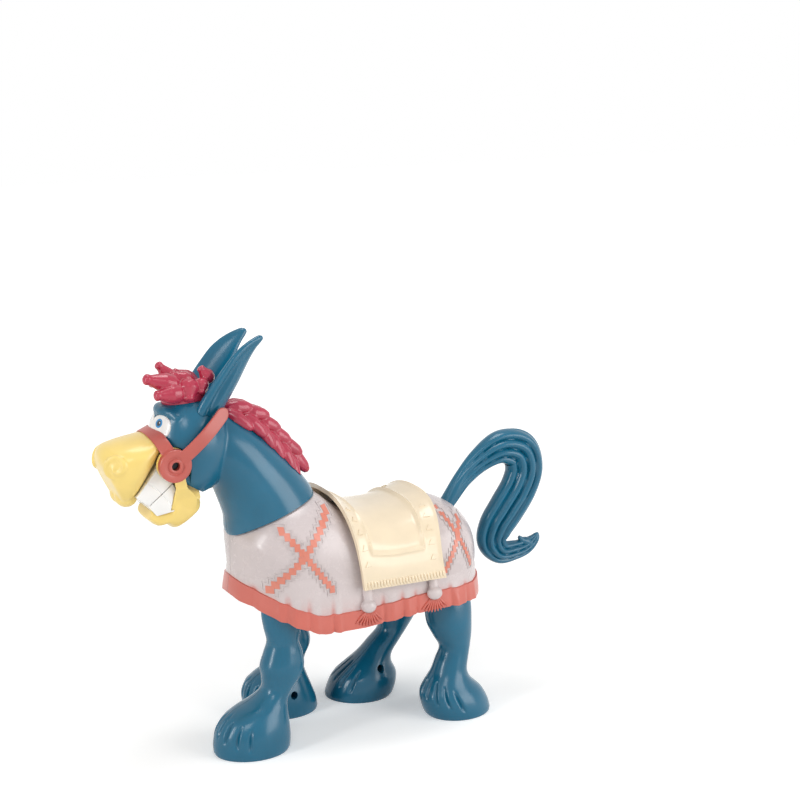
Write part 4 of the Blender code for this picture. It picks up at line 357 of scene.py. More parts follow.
# Bridle disc: distance from the middle plane and radius, from its back to the rim of its hole
DISC_PROFILE = (
    (20.9, 9.4), (21.2, 9.6), (24.5, 9.6), (24.9, 9.3), (25.0, 8.9), (25.0, 5.9), (24.8, 5.5), (24.3, 5.2),
    (24.2, 4.8), (24.3, 4.4), (24.8, 4.1), (25.0, 3.7), (25.0, 3.0), (24.8, 2.7),
)
DISC_HOLE_RADIUS = 2.5
CHEEK_STRAP_TOP = (-76.5, 19.5, 209.0)
CHEEK_STRAP_BULGE = 1.6
CHEEK_STRAP_STEPS, CHEEK_STRAP_SPACING = 32, 1.6
# Room that the ear leaves for the strap's end: half length, below and above it, and its start and end in Y
STRAP_ROOM = (7.6, 11.4, 3.8)
STRAP_ROOM_Y = (-1, 4)
# Ears: centre line in the middle plane, half width and half depth
EAR_LINE = (
    (-91.0, 199.0, 4.6, 3.2), (-86.0, 206.0, 8.2, 4.8), (-77.4, 217.5, 9.0, 4.4), (-71.0, 226.3, 8.8, 3.8),
    (-65.8, 233.6, 8.0, 3.2), (-61.2, 239.2, 6.4, 2.8), (-56.8, 243.4, 4.6, 2.4), (-53.2, 246.0, 3.2, 2.1),
    (-51.2, 247.4, 2.1, 1.6), (-50.4, 248.0, 0.5, 0.5),
)
EAR_ROOT_Y = 13.5
EAR_TIP_Y = 12.5
EAR_TURNS = (0.42, 0.9)
EAR_ROWS, EAR_SIDES = 70, 64
# Groove of an ear: its place across the leaf, half width and depth, and where it ends along the leaf
EAR_GROOVE = (-0.4, 0.26, 0.75, 0.74)
EAR_GROOVE_START = (0.06, 0.16)
# Forelock: core, and the tip, root and radius of each lock
FORELOCK_ROOT = (-94.0, 0.0, 214.5)
FORELOCK_CORE_RADII = (14.5, 12.5, 12.0)
FORELOCK_LOCKS = (
    ((-120.6, -4.0, 228.0), (-99.0, -6.0, 222.0), 6.0),
    ((-109.2, 4.0, 234.6), (-98.0, 2.0, 221.0), 4.8),
    ((-116.6, -11.0, 218.8), (-98.0, -9.5, 218.5), 5.6),
    ((-96.6, -13.5, 214.0), (-94.0, -7.0, 225.0), 6.2),
    ((-103.5, -3.0, 228.6), (-90.0, -3.0, 223.5), 4.2),
    ((-100.0, 3.5, 229.0), (-86.0, 3.5, 222.0), 4.4),
    ((-86.8, -6.0, 232.0), (-80.0, -6.5, 223.0), 4.4),
    ((-88.6, -12.8, 217.5), (-86.5, -8.0, 225.0), 4.4),
    ((-112.0, 10.5, 222.0), (-96.0, 8.0, 218.0), 4.8),
    ((-95.0, 13.0, 215.5), (-91.0, 8.0, 223.0), 4.8),
)
TUFT_STEPS = 36
TUFT_SHARES = (0.0, 0.18, 0.42, 0.66, 0.8, 0.9, 0.96, 1.0)
TUFT_GIRTH = (0.6, 0.92, 1.0, 0.7, 0.52, 0.56, 0.46, 0.1)
# Mane: crest line, and per row the root and tip beside the middle plane, root depth, run, drop and girth
MANE_CREST = (
    (-69.0, 210.0), (-57.5, 206.4), (-48.2, 200.4), (-40.6, 193.2),
    (-32.8, 185.4), (-25.4, 176.6), (-22.0, 167.4),
)
CREST_STEPS = 60
MANE_LOCKS = 6
MANE_ROWS = ((1.8, 3.0, 5.0, 17.5, -3.6, 4.6), (4.0, 11.0, 6.6, 17.0, 6.6, 4.3))
MANE_CORE_RADIUS = 5.2
MANE_CORE_STEPS = 24
MANE_CORE_GIRTH = (0.5, 0.9)
MANE_FOOT_Z = 154.0
LEAF_STEPS = 30
LEAF_SWELL, LEAF_FLATNESS, LEAF_LEAN = 1.2, 0.85, 0.4
LEAF_SHARES = (0.0, 0.12, 0.4, 0.75, 0.93, 1.0)
LEAF_GIRTH = (0.4, 0.78, 1.0, 0.8, 0.5, 0.12)

# Tail: centre line and half width in the middle plane
TAIL_LINE = (
    (80.3, 129.2, 5.0), (90.5, 141.9, 6.3), (103.0, 152.5, 8.5), (117.8, 159.0, 11.5),
    (131.0, 155.5, 13.0), (135.5, 143.6, 13.2), (131.8, 131.0, 13.0), (123.0, 118.0, 12.8),
    (115.0, 107.0, 12.0), (112.5, 97.5, 10.5), (118.5, 89.5, 8.0), (128.5, 89.0, 6.8),
    (137.0, 90.4, 5.8), (143.2, 93.8, 4.0), (146.6, 98.4, 1.8),
)
TAIL_ROOT = (TAIL_LINE[0][0], 0, TAIL_LINE[0][1])
TAIL_HOLE = (9.0, 5.35)
TAIL_DEPTH_SHARE = 0.62
TAIL_FLAT_RUN = 0.08
TAIL_TIP_RUN = 0.04
TAIL_AXIS = (0.6262, 0.0, 0.7797)
TAIL_STEM = ((-9.0, 4.0), (-6.4, 5.0), (-6.4, 6.3), (-4.8, 6.3), (-4.8, 4.95), (3.0, 4.95))
TAIL_ROWS, TAIL_SIDES = 170, 128
TAIL_RIB_HEIGHT = 0.13
# Strands: where they start and the runs over which they rise and fade; how they wander across; their number
TAIL_RIB_RUNS = (0.04, 0.12, 0.1)
TAIL_WANDER = (0.8, 3.0, 0.5)
TAIL_STRANDS, TAIL_STRAND_POWER, TAIL_STRAND_SINK = 2, 0.8, 1.4
TAIL_EDGE_LIFT = 0.3
TAIL_CURL = ((141.0, 0.0, 90.5), (137.6, -0.5, 93.4), (134.2, -0.8, 95.0), (131.6, -1.0, 97.8))
TAIL_CURL_GIRTH = (3.4, 3.2, 2.4, 1.0)
TAIL_CURL_STEPS = 24

# Legs: hip, place of the hoof, stride and how it grows, turn of the hoof, ankle crease and ankle screw
HIP_Y = 22.0
HIP_BOSS_RADIUS, HIP_BORE_RADIUS = 9.0, 1.85
LEGS = {
    "front": {
        "hip": (-41.0, 96.0), "hoof_y": 24.5, "stride": 20.5, "power": 0.7,
        "turn": 0.0, "fold": 1.0, "screw": (-2.0, 15.0),
    },
    "hind": {
        "hip": (66.0, 92.0), "hoof_y": 26.5, "stride": -22.0, "power": 1.4,
        "turn": 15.0, "fold": 0.0, "screw": (-12.7, 19.8),
    },
}
# Screw that joins the halves: its seat inside the split, the screw's radius and run, and the well's radius
SCREW_SEAT, SCREW_RADIUS, SCREW_RUN, SCREW_WELL_RADIUS = 4.0, 1.55, 12.0, 2.5
# Height, shift of the centre line, half length and half width
LEG_STATIONS = {
    "front": (
        (101.0, 0.0, 8.0, 7.0), (95.0, 0.0, 12.5, 8.2), (84.0, 1.6, 13.5, 8.8), (74.0, 3.8, 12.0, 9.6),
        (65.0, 5.5, 9.8, 9.5), (58.0, 6.8, 11.8, 10.8), (50.0, 7.5, 13.6, 12.0), (43.0, 8.1, 12.2, 11.0),
        (36.0, 6.1, 9.8, 10.0), (30.0, 1.4, 12.2, 11.5), (24.0, -4.3, 18.5, 15.0), (16.0, -6.3, 22.4, 18.0),
        (7.0, -5.8, 23.8, 19.2), (0.0, -5.0, 23.4, 19.0),
    ),
    "hind": (
        (97.0, 0.0, 8.0, 8.0), (91.0, 0.0, 12.5, 9.5), (80.0, -0.5, 14.5, 10.0),
        (68.0, -2.0, 15.2, 12.0), (58.0, -3.5, 14.5, 12.6), (50.0, -3.5, 12.4, 11.2),
        (42.0, -4.0, 9.8, 9.6), (34.0, -8.5, 10.6, 10.2), (27.0, -12.5, 11.6, 11.4),
        (21.0, -15.0, 15.0, 14.0), (14.0, -15.4, 20.5, 18.0), (7.0, -15.2, 22.2, 19.4),
        (0.0, -15.2, 22.0, 19.4),
    ),
}
# Toe creases: angles from the toe, angle width, the height of a crease and its half length
TOE_ANGLES = (-69.0, -48.0, -27.0, -6.0, 15.0, 36.0, 58.0)
TOE_WIDTH = 2.8
TOE_HEIGHT = 19.0
TOE_SLOPE = 0.1
TOE_HALF_LENGTH = 6.5
# Ankle crease: height, half width, depth and the angle where it ends
ANKLE_CREASE = (24.5, 1.8, 0.45, 75.0)
# Rounding of the sole: depth and height
SOLE_ROUND = (0.7, 1.6)
LEG_ROWS, LEG_SIDES = 120, 240
CRANK = (11.0, 113.5)
CRANK_THROW = 5.0
# Slotted arms: inner and outer face, run past the crank, half width, and half length and width of the slot
ARM = {"front": (22.8, 25.0), "hind": (25.6, 27.8)}
ARM_PAST_CRANK, ARM_HALF_WIDTH = 8.0, 3.4
ARM_SLOT = (6.0, 2.35)


def linear(code):
    """An sRGB hex colour as linear red, green and blue."""
    values = [int(code[place : place + 2], 16) / 255 for place in (1, 3, 5)]
    return [value / 12.92 if value <= 0.04045 else ((value + 0.055) / 1.055) ** 2.4 for value in values]


def colour(name, code, description):
    return FloatVectorProperty(
        name=name, description=description, subtype="COLOR", size=3, min=0.0, max=1.0, default=linear(code)
    )


def length(name, millimetres, description):
    return FloatProperty(
        name=name, description=description, subtype="DISTANCE", unit="LENGTH", default=millimetres * MM
    )


class DonkeyColours(bpy.types.PropertyGroup):
    """Colours of the plastics and paints."""

    teal: colour("Teal", "#0B6280", "Plastic of the head, legs and tail")
    mauve: colour("Mauve", "#D0C4C3", "Plastic of the blanket")
    coral: colour("Coral", "#CD695B", "Paint of the hem")
    salmon: colour("Salmon", "#DC8470", "Paint of the stepped crosses")
    cream: colour("Cream", "#F0DEC0", "Plastic of the saddle pad")
    yellow: colour("Yellow", "#F4D67C", "Plastic of the muzzle and jaw")
    crimson: colour("Crimson", "#B52D48", "Plastic of the forelock and mane")
    bridle: colour("Bridle red", "#BE5A50", "Plastic of the bridle")
    white: colour("White", "#F3F2EF", "Plastic of the teeth and eyes")
    iris: colour("Iris", "#1A8FD0", "Paint of the iris")
    iris_rim: colour("Iris rim", "#0D3F61", "Paint between the iris and the pupil")
    pupil: colour("Pupil", "#0A0D17", "Paint of the pupil")
    # The glint is a painted highlight: a white spot that stands for a lamp's reflection in the eye
    painted_glint: colour("Glint", "#F3F9FF", "Paint of the small light spot in the eye")
    nylon: colour("Nylon", "#E3E0D6", "Plastic of the gears and plates")
    steel: colour("Steel", "#C9C9C7", "Axles, screws and motor can")
    oxide: colour("Black oxide", "#26272A", "Heads of the small screws")
    black: colour("Black", "#202020", "Plastic of the switch")
    jacket: colour("Cell jacket", "#4F955F", "Printed jacket of the cells")
    floor: colour("Floor", "#F4F4F3", "Paper of the floor")


class DonkeySizes(bpy.types.PropertyGroup):
    """Sizes of the relief that the moulds carry."""

    hem_band: length("Hem band", 11.0, "Height of the coral hem")
    hem_lift: length("Hem lift", 0.9, "How far the hem stands out from the blanket")
    cross_lift: length("Cross lift", 0.35, "How far a stepped cross stands out")
    bead: length("Bead", 1.3, "How far the bead of the saddle frame stands out")
    fringe_ribs: IntProperty(
        name="Fringe ribs", description="Ribs along one saddle edge", default=26, min=4, max=80
    )
    fan_ribs: IntProperty(name="Fan ribs", description="Ribs of one tassel fan", default=9, min=3, max=30)
    toe_crease: length("Toe crease", 1.5, "Depth of the creases between the toes")
    seam: length("Seam", 0.3, "Gap between two moulded halves")


def node(tree, kind, inputs=None, **settings):
    """Adds a node; an input that is given a socket is linked, any other is set."""
    made = tree.nodes.new(kind)
    for name, value in settings.items():
        setattr(made, name, value)
    for key, value in (inputs or {}).items():
        socket = made.inputs[key]
        if isinstance(value, bpy.types.NodeSocket):
            tree.links.new(value, socket)
        else:
            socket.default_value = value
    return made


def blank(name, settings):
    """A new material with its tree, its shader with these settings, and the coordinates of the object."""
    material = bpy.data.materials.new(name)
    material.use_nodes = True
    tree = material.node_tree
    shader = tree.nodes["Principled BSDF"]
    for key, value in settings.items():
        shader.inputs[key].default_value = value
    return material, tree, shader, node(tree, "ShaderNodeTexCoord").outputs["Object"]


def noise(tree, place, size, detail, **settings):
    """A noise whose grain has a size in millimetres."""
    inputs = {"Vector": place, "Scale": 1 / (size * MM), "Detail": detail, **settings}
    return node(tree, "ShaderNodeTexNoise", inputs).outputs["Fac"]


def mapped(tree, value, low, high, to_low, to_high):
    inputs = {"Value": value, 1: low, 2: high, 3: to_low, 4: to_high}
    return node(tree, "ShaderNodeMapRange", inputs).outputs[0]


def grain(tree, shader, place, base, finish):
    """Shared finish of a moulding: faint flow marks in the colour, uneven gloss and orange peel."""
    roughness, mottle, peel, _ = finish
    shade = mapped(tree, noise(tree, place, FLOW_GRAIN, 3.0), *FLOW_SPREAD, 1 - mottle, 1 + mottle / 2)
    tinted = node(tree, "ShaderNodeVectorMath", {0: base, "Scale": shade}, operation="SCALE")
    tree.links.new(tinted.outputs[0], shader.inputs["Base Color"])
    rub = noise(tree, place, RUB_GRAIN, 5.0, Roughness=0.65)
    gloss = mapped(tree, rub, *RUB_SPREAD, *(roughness * share for share in GLOSS_RANGE))
    tree.links.new(gloss, shader.inputs["Roughness"])
    # Orange peel of a mould is finer than a pixel here, so it is drawn coarser to show
    skin = noise(tree, place, PEEL_GRAIN, 2.0)
    bump = node(tree, "ShaderNodeBump", {"Height": skin, "Strength": peel, "Distance": PEEL_DEPTH * MM})
    tree.links.new(bump.outputs[0], shader.inputs["Normal"])


def evenly(tree, base):
    """One colour as a socket."""
    return node(tree, "ShaderNodeCombineXYZ", {0: base[0], 1: base[1], 2: base[2]}).outputs[0]


def layered(tree, share, under, paint):
    """A paint over a colour, by a share."""
    inputs = {0: share, 6: under, 7: (*paint, 1.0)}
    return node(tree, "ShaderNodeMix", inputs, data_type="RGBA").outputs[2]


def moulded(name, base):
    """Glossy injection-moulded ABS: even colour with faint flow marks, soft broad highlights."""
    found = bpy.data.materials.get(name)
    if found:
        return found
    settings = {**ABS_SHINE, "Coat Weight": FINISH[name][3], "Coat Roughness": COAT_ROUGHNESS}
    material, tree, shader, place = blank(name, settings)
    grain(tree, shader, place, evenly(tree, base), FINISH[name])
    return material


def sprayed_blanket(name, plastic, paint):
    """Mauve ABS with coral paint that drifted into the folds above the hem."""
    settings = {**ABS_SHINE, "Coat Weight": FINISH[name][3], "Coat Roughness": SPRAYED_COAT_ROUGHNESS}
    material, tree, shader, place = blank(name, settings)
    drift = node(tree, "ShaderNodeAttribute", attribute_name="spray").outputs["Fac"]
    speck = noise(tree, place, SPRAY_GRAIN, 4.0)
    fog = node(tree, "ShaderNodeMath", {0: drift, 1: speck}, operation="MULTIPLY").outputs[0]
    thick = node(tree, "ShaderNodeMath", {0: fog, 1: SPRAY_GAIN}, operation="MULTIPLY", use_clamp=True)
    hue = layered(tree, thick.outputs[0], (*plastic, 1.0), paint)
    grain(tree, shader, place, hue, FINISH[name])
    return material


def painted_eye(name, colours):
    """White gloss paint with a printed iris, a blue ring and a dark pupil, and a small white glint that is a
    painted highlight: a lamp's reflection drawn into the colour.
    """
    settings = {"Coat Weight": FINISH[name][3], "Coat Roughness": EYE_COAT_ROUGHNESS}
    material, tree, shader, place = blank(name, settings)
    mirror = node(tree, "ShaderNodeVectorMath", {0: place}, operation="ABSOLUTE").outputs[0]
    spot = Vector(abs(value) for value in IRIS_SPOT) * MM
    # Painted highlight: the glint sits at a fixed shift from the iris, where a lamp's reflection would fall
    painted_glint = spot + Vector(PAINTED_GLINT_SHIFT) * MM
    reach, far = (
        node(tree, "ShaderNodeVectorMath", {0: mirror, 1: centre}, operation="DISTANCE").outputs["Value"]
        for centre in (spot, painted_glint)
    )
    paints = (colours.iris, colours.iris_rim, colours.pupil, colours.painted_glint)
    hue = (*colours.white, 1.0)
    for measured, (radius, soft), paint in zip((reach, reach, reach, far), EYE_RINGS, paints):
        mask = mapped(tree, measured, (radius + soft) * MM, (radius - soft) * MM, 0.0, 1.0)
        hue = layered(tree, mask, hue, paint)
    grain(tree, shader, place, hue, FINISH[name])
    return material


def plain_steel(name, base):
    """Drawn and plated steel: grey metal with a faintly uneven tone, dull patches and a fine bump."""
    material, tree, shader, place = blank(name, {"Metallic": 1.0})
    grain(tree, shader, place, evenly(tree, base), FINISH[name])
    return material


def joined(*shapes):
    """Several shapes, each as points and faces, put together as one."""
    points, faces = [], []
    for some_points, some_faces in shapes:
        start = len(points)
        points.extend(some_points)
        faces.extend(tuple(start + corner for corner in face) for face in some_faces)
    return points, faces


def make(name, shape, slots=None):
    """An object from points in millimetres, doubles merged and faces turned outwards."""
    points, faces = shape
    mesh = bpy.data.meshes.new(name)
    mesh.from_pydata([Vector(point) * MM for point in points], [], faces)
    if slots is not None:
        mesh.polygons.foreach_set("material_index", slots)
    work = bmesh.new()
    work.from_mesh(mesh)
    bmesh.ops.remove_doubles(work, verts=work.verts, dist=MM * MERGE_DISTANCE)
    bmesh.ops.recalc_face_normals(work, faces=work.faces)
    work.to_mesh(mesh)
    work.free()
    made = bpy.data.objects.new(name, mesh)
    bpy.context.scene.collection.objects.link(made)
    return made


def settled(obj):
    """The object with its modifiers made part of its mesh."""
    bpy.context.view_layer.update()
    graph = bpy.context.evaluated_depsgraph_get()
    made = bpy.data.meshes.new_from_object(obj.evaluated_get(graph))
    obj.modifiers.clear()
    obj.data = made
    return obj


def fused(name, shapes, voxel, passes):
    """Overlapping shapes melted into one moulded skin; more passes soften its creases."""
    obj = make(name, joined(*shapes))
    skin = obj.modifiers.new("skin", "REMESH")
    skin.mode = "VOXEL"
    skin.voxel_size = voxel * MM
    soften = obj.modifiers.new("soften", "SMOOTH")
    soften.factor = 0.5
    soften.iterations = passes
    return settled(obj)


def carved(obj, *shapes, operation="DIFFERENCE"):
    """The object with each shape cut away in turn, joined to it or kept in common with it."""
    for shape in shapes:
        tool = make("tool", shape)
        cut = obj.modifiers.new("cut", "BOOLEAN")
        cut.operation = operation
        cut.solver = "MANIFOLD"
        cut.object = tool
        settled(obj)
        bpy.data.objects.remove(tool)
    return obj


def twin(obj, name):
    """A second object with a mesh of its own."""
    made = bpy.data.objects.new(name, obj.data.copy())
    bpy.context.scene.collection.objects.link(made)
    return made


def dressed(obj, body, materials, sharp, nodes=()):
    """Shades a finished piece, hangs it on its carrier's empty and hides the CAD nodes it stands for."""
    held = list(obj.data.materials)
    if held != materials:
        kept = np.zeros(len(obj.data.polygons), np.int32)
        obj.data.polygons.foreach_get("material_index", kept)
        obj.data.materials.clear()
        for material in materials:
            obj.data.materials.append(material)
        obj.data.polygons.foreach_set("material_index", np.minimum(kept, len(materials) - 1))
    obj.data.shade_smooth()
    obj.data.set_sharp_from_angle(angle=math.radians(sharp))
    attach(obj, body)
    if nodes:
        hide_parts(*nodes)
    return obj


def powers(angle, power):
    """The two factors of a superellipse at an angle, both without sign."""
    return abs(math.cos(angle)) ** (2 / power), abs(math.sin(angle)) ** (2 / power)


def polar(x, z, radius, degrees):
    angle = math.radians(degrees)
    return x + radius * math.cos(angle), z + radius * math.sin(angle)


def bezier(a, b, c, share):
    first, second, third = (1 - share) ** 2, 2 * share * (1 - share), share**2
    return tuple(first * p + second * q + third * r for p, q, r in zip(a, b, c))


def span(side, inner, outer):
    """Two distances from the middle plane as places in Y on one side, the lower first."""
    return sorted((inner * side, outer * side))


def mirrored(spot, side):
    """A point of the right side, or its mirror image on the left."""
    return spot[0], spot[1] * side, spot[2]


def bar_outline(start, end, across):
    """The corners of a straight bar in the side view; across reaches from its middle to one edge."""
    return [tuple(spot) for spot in (start - across, end - across, end + across, start + across)]


def between(rows, count):
    """Rows of numbers, drawn out to count rows by a smooth curve through them all."""
    rows = np.asarray(rows, float)
    ends = np.vstack([2 * rows[0] - rows[1], rows, 2 * rows[-1] - rows[-2]])
    made = []
    for place in np.linspace(0, len(rows) - 1, count):
        start = min(int(place), len(rows) - 2)
        t = place - start
        a, b, c, d = ends[start : start + 4]
        square, cube = 2 * a - 5 * b + 4 * c - d, 3 * b - a - 3 * c + d
        made.append(0.5 * (2 * b + (c - a) * t + square * t**2 + cube * t**3))
    return np.array(made)


def loft(rings):
    """Points and faces through rings of equal count, each end closed by a fan."""
    count = len(rings[0])
    points = [Vector(point) for ring in rings for point in ring]
    faces = []
    for row in range(len(rings) - 1):
        low, high = row * count, (row + 1) * count
        for side in range(count):
            after = (side + 1) % count
            faces.append((low + side, low + after, high + after, high + side))
    for start in (0, (len(rings) - 1) * count):
        points.append(sum(points[start : start + count], Vector()) / count)
        hub = len(points) - 1
        faces += [(start + side, start + (side + 1) % count, hub) for side in range(count)]
    return points, faces


def span_loft(table, grow=0.0, count=0, sides=56, squareness=(2.0, 2.0)):
    """A loft of sections between top and bottom points of the middle plane; a higher power is squarer."""
    rows = [(*top, *bottom, width) for top, bottom, width in table]
    count = count or 6 * len(rows)
    rings = []
    for row, power in zip(between(rows, count), np.linspace(*squareness, count)):
        top_x, top_z, low_x, low_z, width = row
        top, low = Vector((top_x, top_z)), Vector((low_x, low_z))
        middle, reach = (top + low) / 2, (top - low) / 2
        reach *= (reach.length + grow) / reach.length
        ring = []
        for side in range(sides):
            angle = math.tau * side / sides
            up, out = powers(angle, power)
            spot = middle + reach * math.copysign(up, math.cos(angle))
            ring.append((spot.x, (width + grow) * math.copysign(out, math.sin(angle)), spot.y))
        rings.append(ring)
    return loft(rings)


def ball(centre, radii, grow=0.0, rows=20, sides=36):
    rings = []
    for row in range(rows):
        tilt = math.radians(POLE_TILT) * (2 * row / (rows - 1) - 1)
        rings.append(
            [
                (
                    centre[0] + (radii[0] + grow) * math.cos(tilt) * math.cos(math.tau * side / sides),
                    centre[1] + (radii[1] + grow) * math.cos(tilt) * math.sin(math.tau * side / sides),
                    centre[2] + (radii[2] + grow) * math.sin(tilt),
                )
                for side in range(sides)
            ]
        )
    return loft(rings)


def turned(centre, axis, profile, sides=48):
    """A solid of revolution: profile lists distance along the axis and radius."""
    axis = Vector(axis).normalized()
    across = axis.orthogonal().normalized()
    beside = axis.cross(across)
    turns = [math.tau * side / sides for side in range(sides)]
    spokes = [across * math.cos(turn) + beside * math.sin(turn) for turn in turns]
    rings = []
    for along, radius in profile:
        rings.append([Vector(centre) + axis * along + spoke * radius for spoke in spokes])
    return loft(rings)


def rod(x, z, radius, y0, y1, sides=40):
    return turned((x, 0, z), (0, 1, 0), ((y0, radius), (y1, radius)), sides)


def slab(outline, y0, y1):
    return loft([[(x, y0, z) for x, z in outline], [(x, y1, z) for x, z in outline]])


def box(low, high):
    corners = ((low[0], low[1]), (high[0], low[1]), (high[0], high[1]), (low[0], high[1]))
    return loft([[(x, y, z) for x, y in corners] for z in (low[2], high[2])])


def half_space(side, past=0.0):
    """Everything on one side of the middle plane, and a little past it."""
    low, high = span(side, -past, FAR)
    return box((-FAR, low, -FAR), (FAR, high, 2 * FAR))


def swept(path, widths, heights, across=(0, 1, 0), sides=20, power=2.0):
    """A sweep along a path: widths lie along across, heights square to it and to the path."""
    path = np.asarray(path, float)
    rings = []
    for spot, way, width, height in zip(path, np.gradient(path, axis=0), widths, heights):
        way = Vector(way).normalized()
        side = (Vector(across) - way * way.dot(Vector(across))).normalized()
        lift = way.cross(side)
        ring = []
        for part in range(sides):
            angle = math.tau * part / sides
            wide, high = powers(angle, power)
            ring.append(
                Vector(spot)
                + side * width * math.copysign(wide, math.cos(angle))
                + lift * height * math.copysign(high, math.sin(angle))
            )
        rings.append(ring)
    return loft(rings)


def walled(outer, inner):
    """A closed wall between two sheets that share their layout."""
    offset = len(outer[0])
    faces = list(outer[1]) + [tuple(offset + corner for corner in reversed(face)) for face in inner[1]]
    uses = {}
    for face in outer[1]:
        for a, b in zip(face, face[1:] + face[:1]):
            uses.setdefault(frozenset((a, b)), []).append((a, b))
    rims = [ends[0] for ends in uses.values() if len(ends) == 1]
    faces += [(b, a, offset + a, offset + b) for a, b in rims]
    return list(outer[0]) + list(inner[0]), faces


def rib_tree(corners):
    """A node tree that sets a rib, or a stump of so many corners, on every point as its way and out say."""
    tree = bpy.data.node_groups.new(RIB_TREES[corners], "GeometryNodeTree")
    tree.interface.new_socket("Path", in_out="INPUT", socket_type="NodeSocketGeometry")
    for label in ("Length", "Width", "Height"):
        tree.interface.new_socket(label, in_out="INPUT", socket_type="NodeSocketFloat")
    tree.interface.new_socket("Material", in_out="INPUT", socket_type="NodeSocketMaterial")
    tree.interface.new_socket("Ribs", in_out="OUTPUT", socket_type="NodeSocketGeometry")
    given = node(tree, "NodeGroupInput")
    if corners:
        cone = {"Vertices": corners, "Radius Top": TRIANGLE_TOP, "Radius Bottom": 1.0, "Depth": 2.0}
        shape = node(tree, "GeometryNodeMeshCone", cone)
    else:
        shape = node(tree, "GeometryNodeMeshUVSphere", {"Segments": 12, "Rings": 8, "Radius": 1.0})
    size = node(tree, "ShaderNodeCombineXYZ", {axis: given.outputs[axis + 1] for axis in range(3)})
    half = node(tree, "ShaderNodeVectorMath", {0: size.outputs[0], "Scale": 0.5}, operation="SCALE")
    way = node(tree, "GeometryNodeInputNamedAttribute", {"Name": "way"}, data_type="FLOAT_VECTOR")
    out = node(tree, "GeometryNodeInputNamedAttribute", {"Name": "out"}, data_type="FLOAT_VECTOR")
    stand = node(tree, "FunctionNodeAlignRotationToVector", {"Vector": out.outputs[0]}, axis="Z")
    turn = node(
        tree,
        "FunctionNodeAlignRotationToVector",
        {"Rotation": stand.outputs[0], "Vector": way.outputs[0]},
        axis="X",
        pivot_axis="Z",
    )
    set_out = node(
        tree,
        "GeometryNodeInstanceOnPoints",
        {
            "Points": given.outputs[0],
            "Instance": shape.outputs[0],
            "Rotation": turn.outputs[0],
            "Scale": half.outputs[0],
        },
    )
    real = node(tree, "GeometryNodeRealizeInstances", {0: set_out.outputs[0]})
    dress = node(tree, "GeometryNodeSetMaterial", {0: real.outputs[0], "Material": given.outputs[4]})
    node(tree, "NodeGroupOutput", {0: dress.outputs[0]})
    return tree


def ribs(name, places, size, material, corners=0):
    """Ribs as one plain mesh: places list a point, the way a rib lies and the way it stands out."""
    tree = bpy.data.node_groups.get(RIB_TREES[corners]) or rib_tree(corners)
    mesh = bpy.data.meshes.new(name)
    mesh.from_pydata([Vector(spot) * MM for spot, _, _ in places], [], [])
    for label, column in (("way", 1), ("out", 2)):
        values = mesh.attributes.new(label, "FLOAT_VECTOR", "POINT")
        values.data.foreach_set("vector", [value for place in places for value in place[column]])
    made = bpy.data.objects.new(name, mesh)
    bpy.context.scene.collection.objects.link(made)
    modifier = made.modifiers.new("ribs", "NODES")
    modifier.node_group = tree
    sockets = {item.name: item.identifier for item in tree.interface.items_tree if item.in_out == "INPUT"}
    for label, value in zip(("Length", "Width", "Height"), size):
        modifier[sockets[label]] = value * MM
    modifier[sockets["Material"]] = material
    return settled(made)


def blanket_stations(inset):
    """Side-view profile of the body from chest to rump: point, core point and squareness of its section."""
    stations = []
    for step in range(ARC_STEPS + 1):
        degrees = 180 + (WITHERS_ANGLE - 180) * step / ARC_STEPS
        forward = max(-math.cos(math.radians(degrees)), 0.001)
        radius = min(SHOULDER_RADIUS, CHEST_DEPTH / forward) - inset
        share = max(0.0, (degrees - CHEST_BLEND_ANGLE) / (180 - CHEST_BLEND_ANGLE))
        power = BODY_POWER + (CHEST_POWER - BODY_POWER) * share
        stations.append((polar(*NECK_PIVOT, radius, degrees), NECK_PIVOT, power))
    start = polar(*NECK_PIVOT, SHOULDER_RADIUS, WITHERS_ANGLE)
    for step in range(1, RIDGE_STEPS + 1):
        share = step / RIDGE_STEPS
        x, z = bezier(start, BACK_DIP, (RUMP_CORE[0], RUMP_TOP_Z), share)
        core = tuple(a + (b - a) * share for a, b in zip(NECK_PIVOT, RUMP_CORE))
        stations.append(((x, z - inset), core, BODY_POWER))
    for step in range(1, RUMP_STEPS + 1):
        up, out = powers(math.pi / 2 * step / RUMP_STEPS, RUMP_POWER)
        x = RUMP_CORE[0] + (RUMP_DEPTH - inset) * out
        z = RUMP_CORE[1] + (RUMP_TOP_Z - RUMP_CORE[1] - inset) * up
        power = BODY_POWER + (RUMP_PLAN_POWER - BODY_POWER) * step / RUMP_STEPS
        stations.append(((x, z), RUMP_CORE, power))
    return stations


def hem_height(x):
    start, run, power, front_rise = HEM_FRONT
    front = max(0.0, (start - x) / run) ** power
    rear_run, rear_rise = HEM_REAR
    rear = min(1.0, max(0.0, x / rear_run))
    return HEM_Z + front_rise * front + rear_rise * rear


def pleat(x, y):
    """How far the folds of the hem stand out at a place; they fade towards the middle of chest and rump."""
    fade = min(1.0, abs(y) / PLEAT_FADE_Y)
    return fade * sum(rise * math.exp(-(((x - place) / width) ** 2)) for place, width, rise in PLEATS)


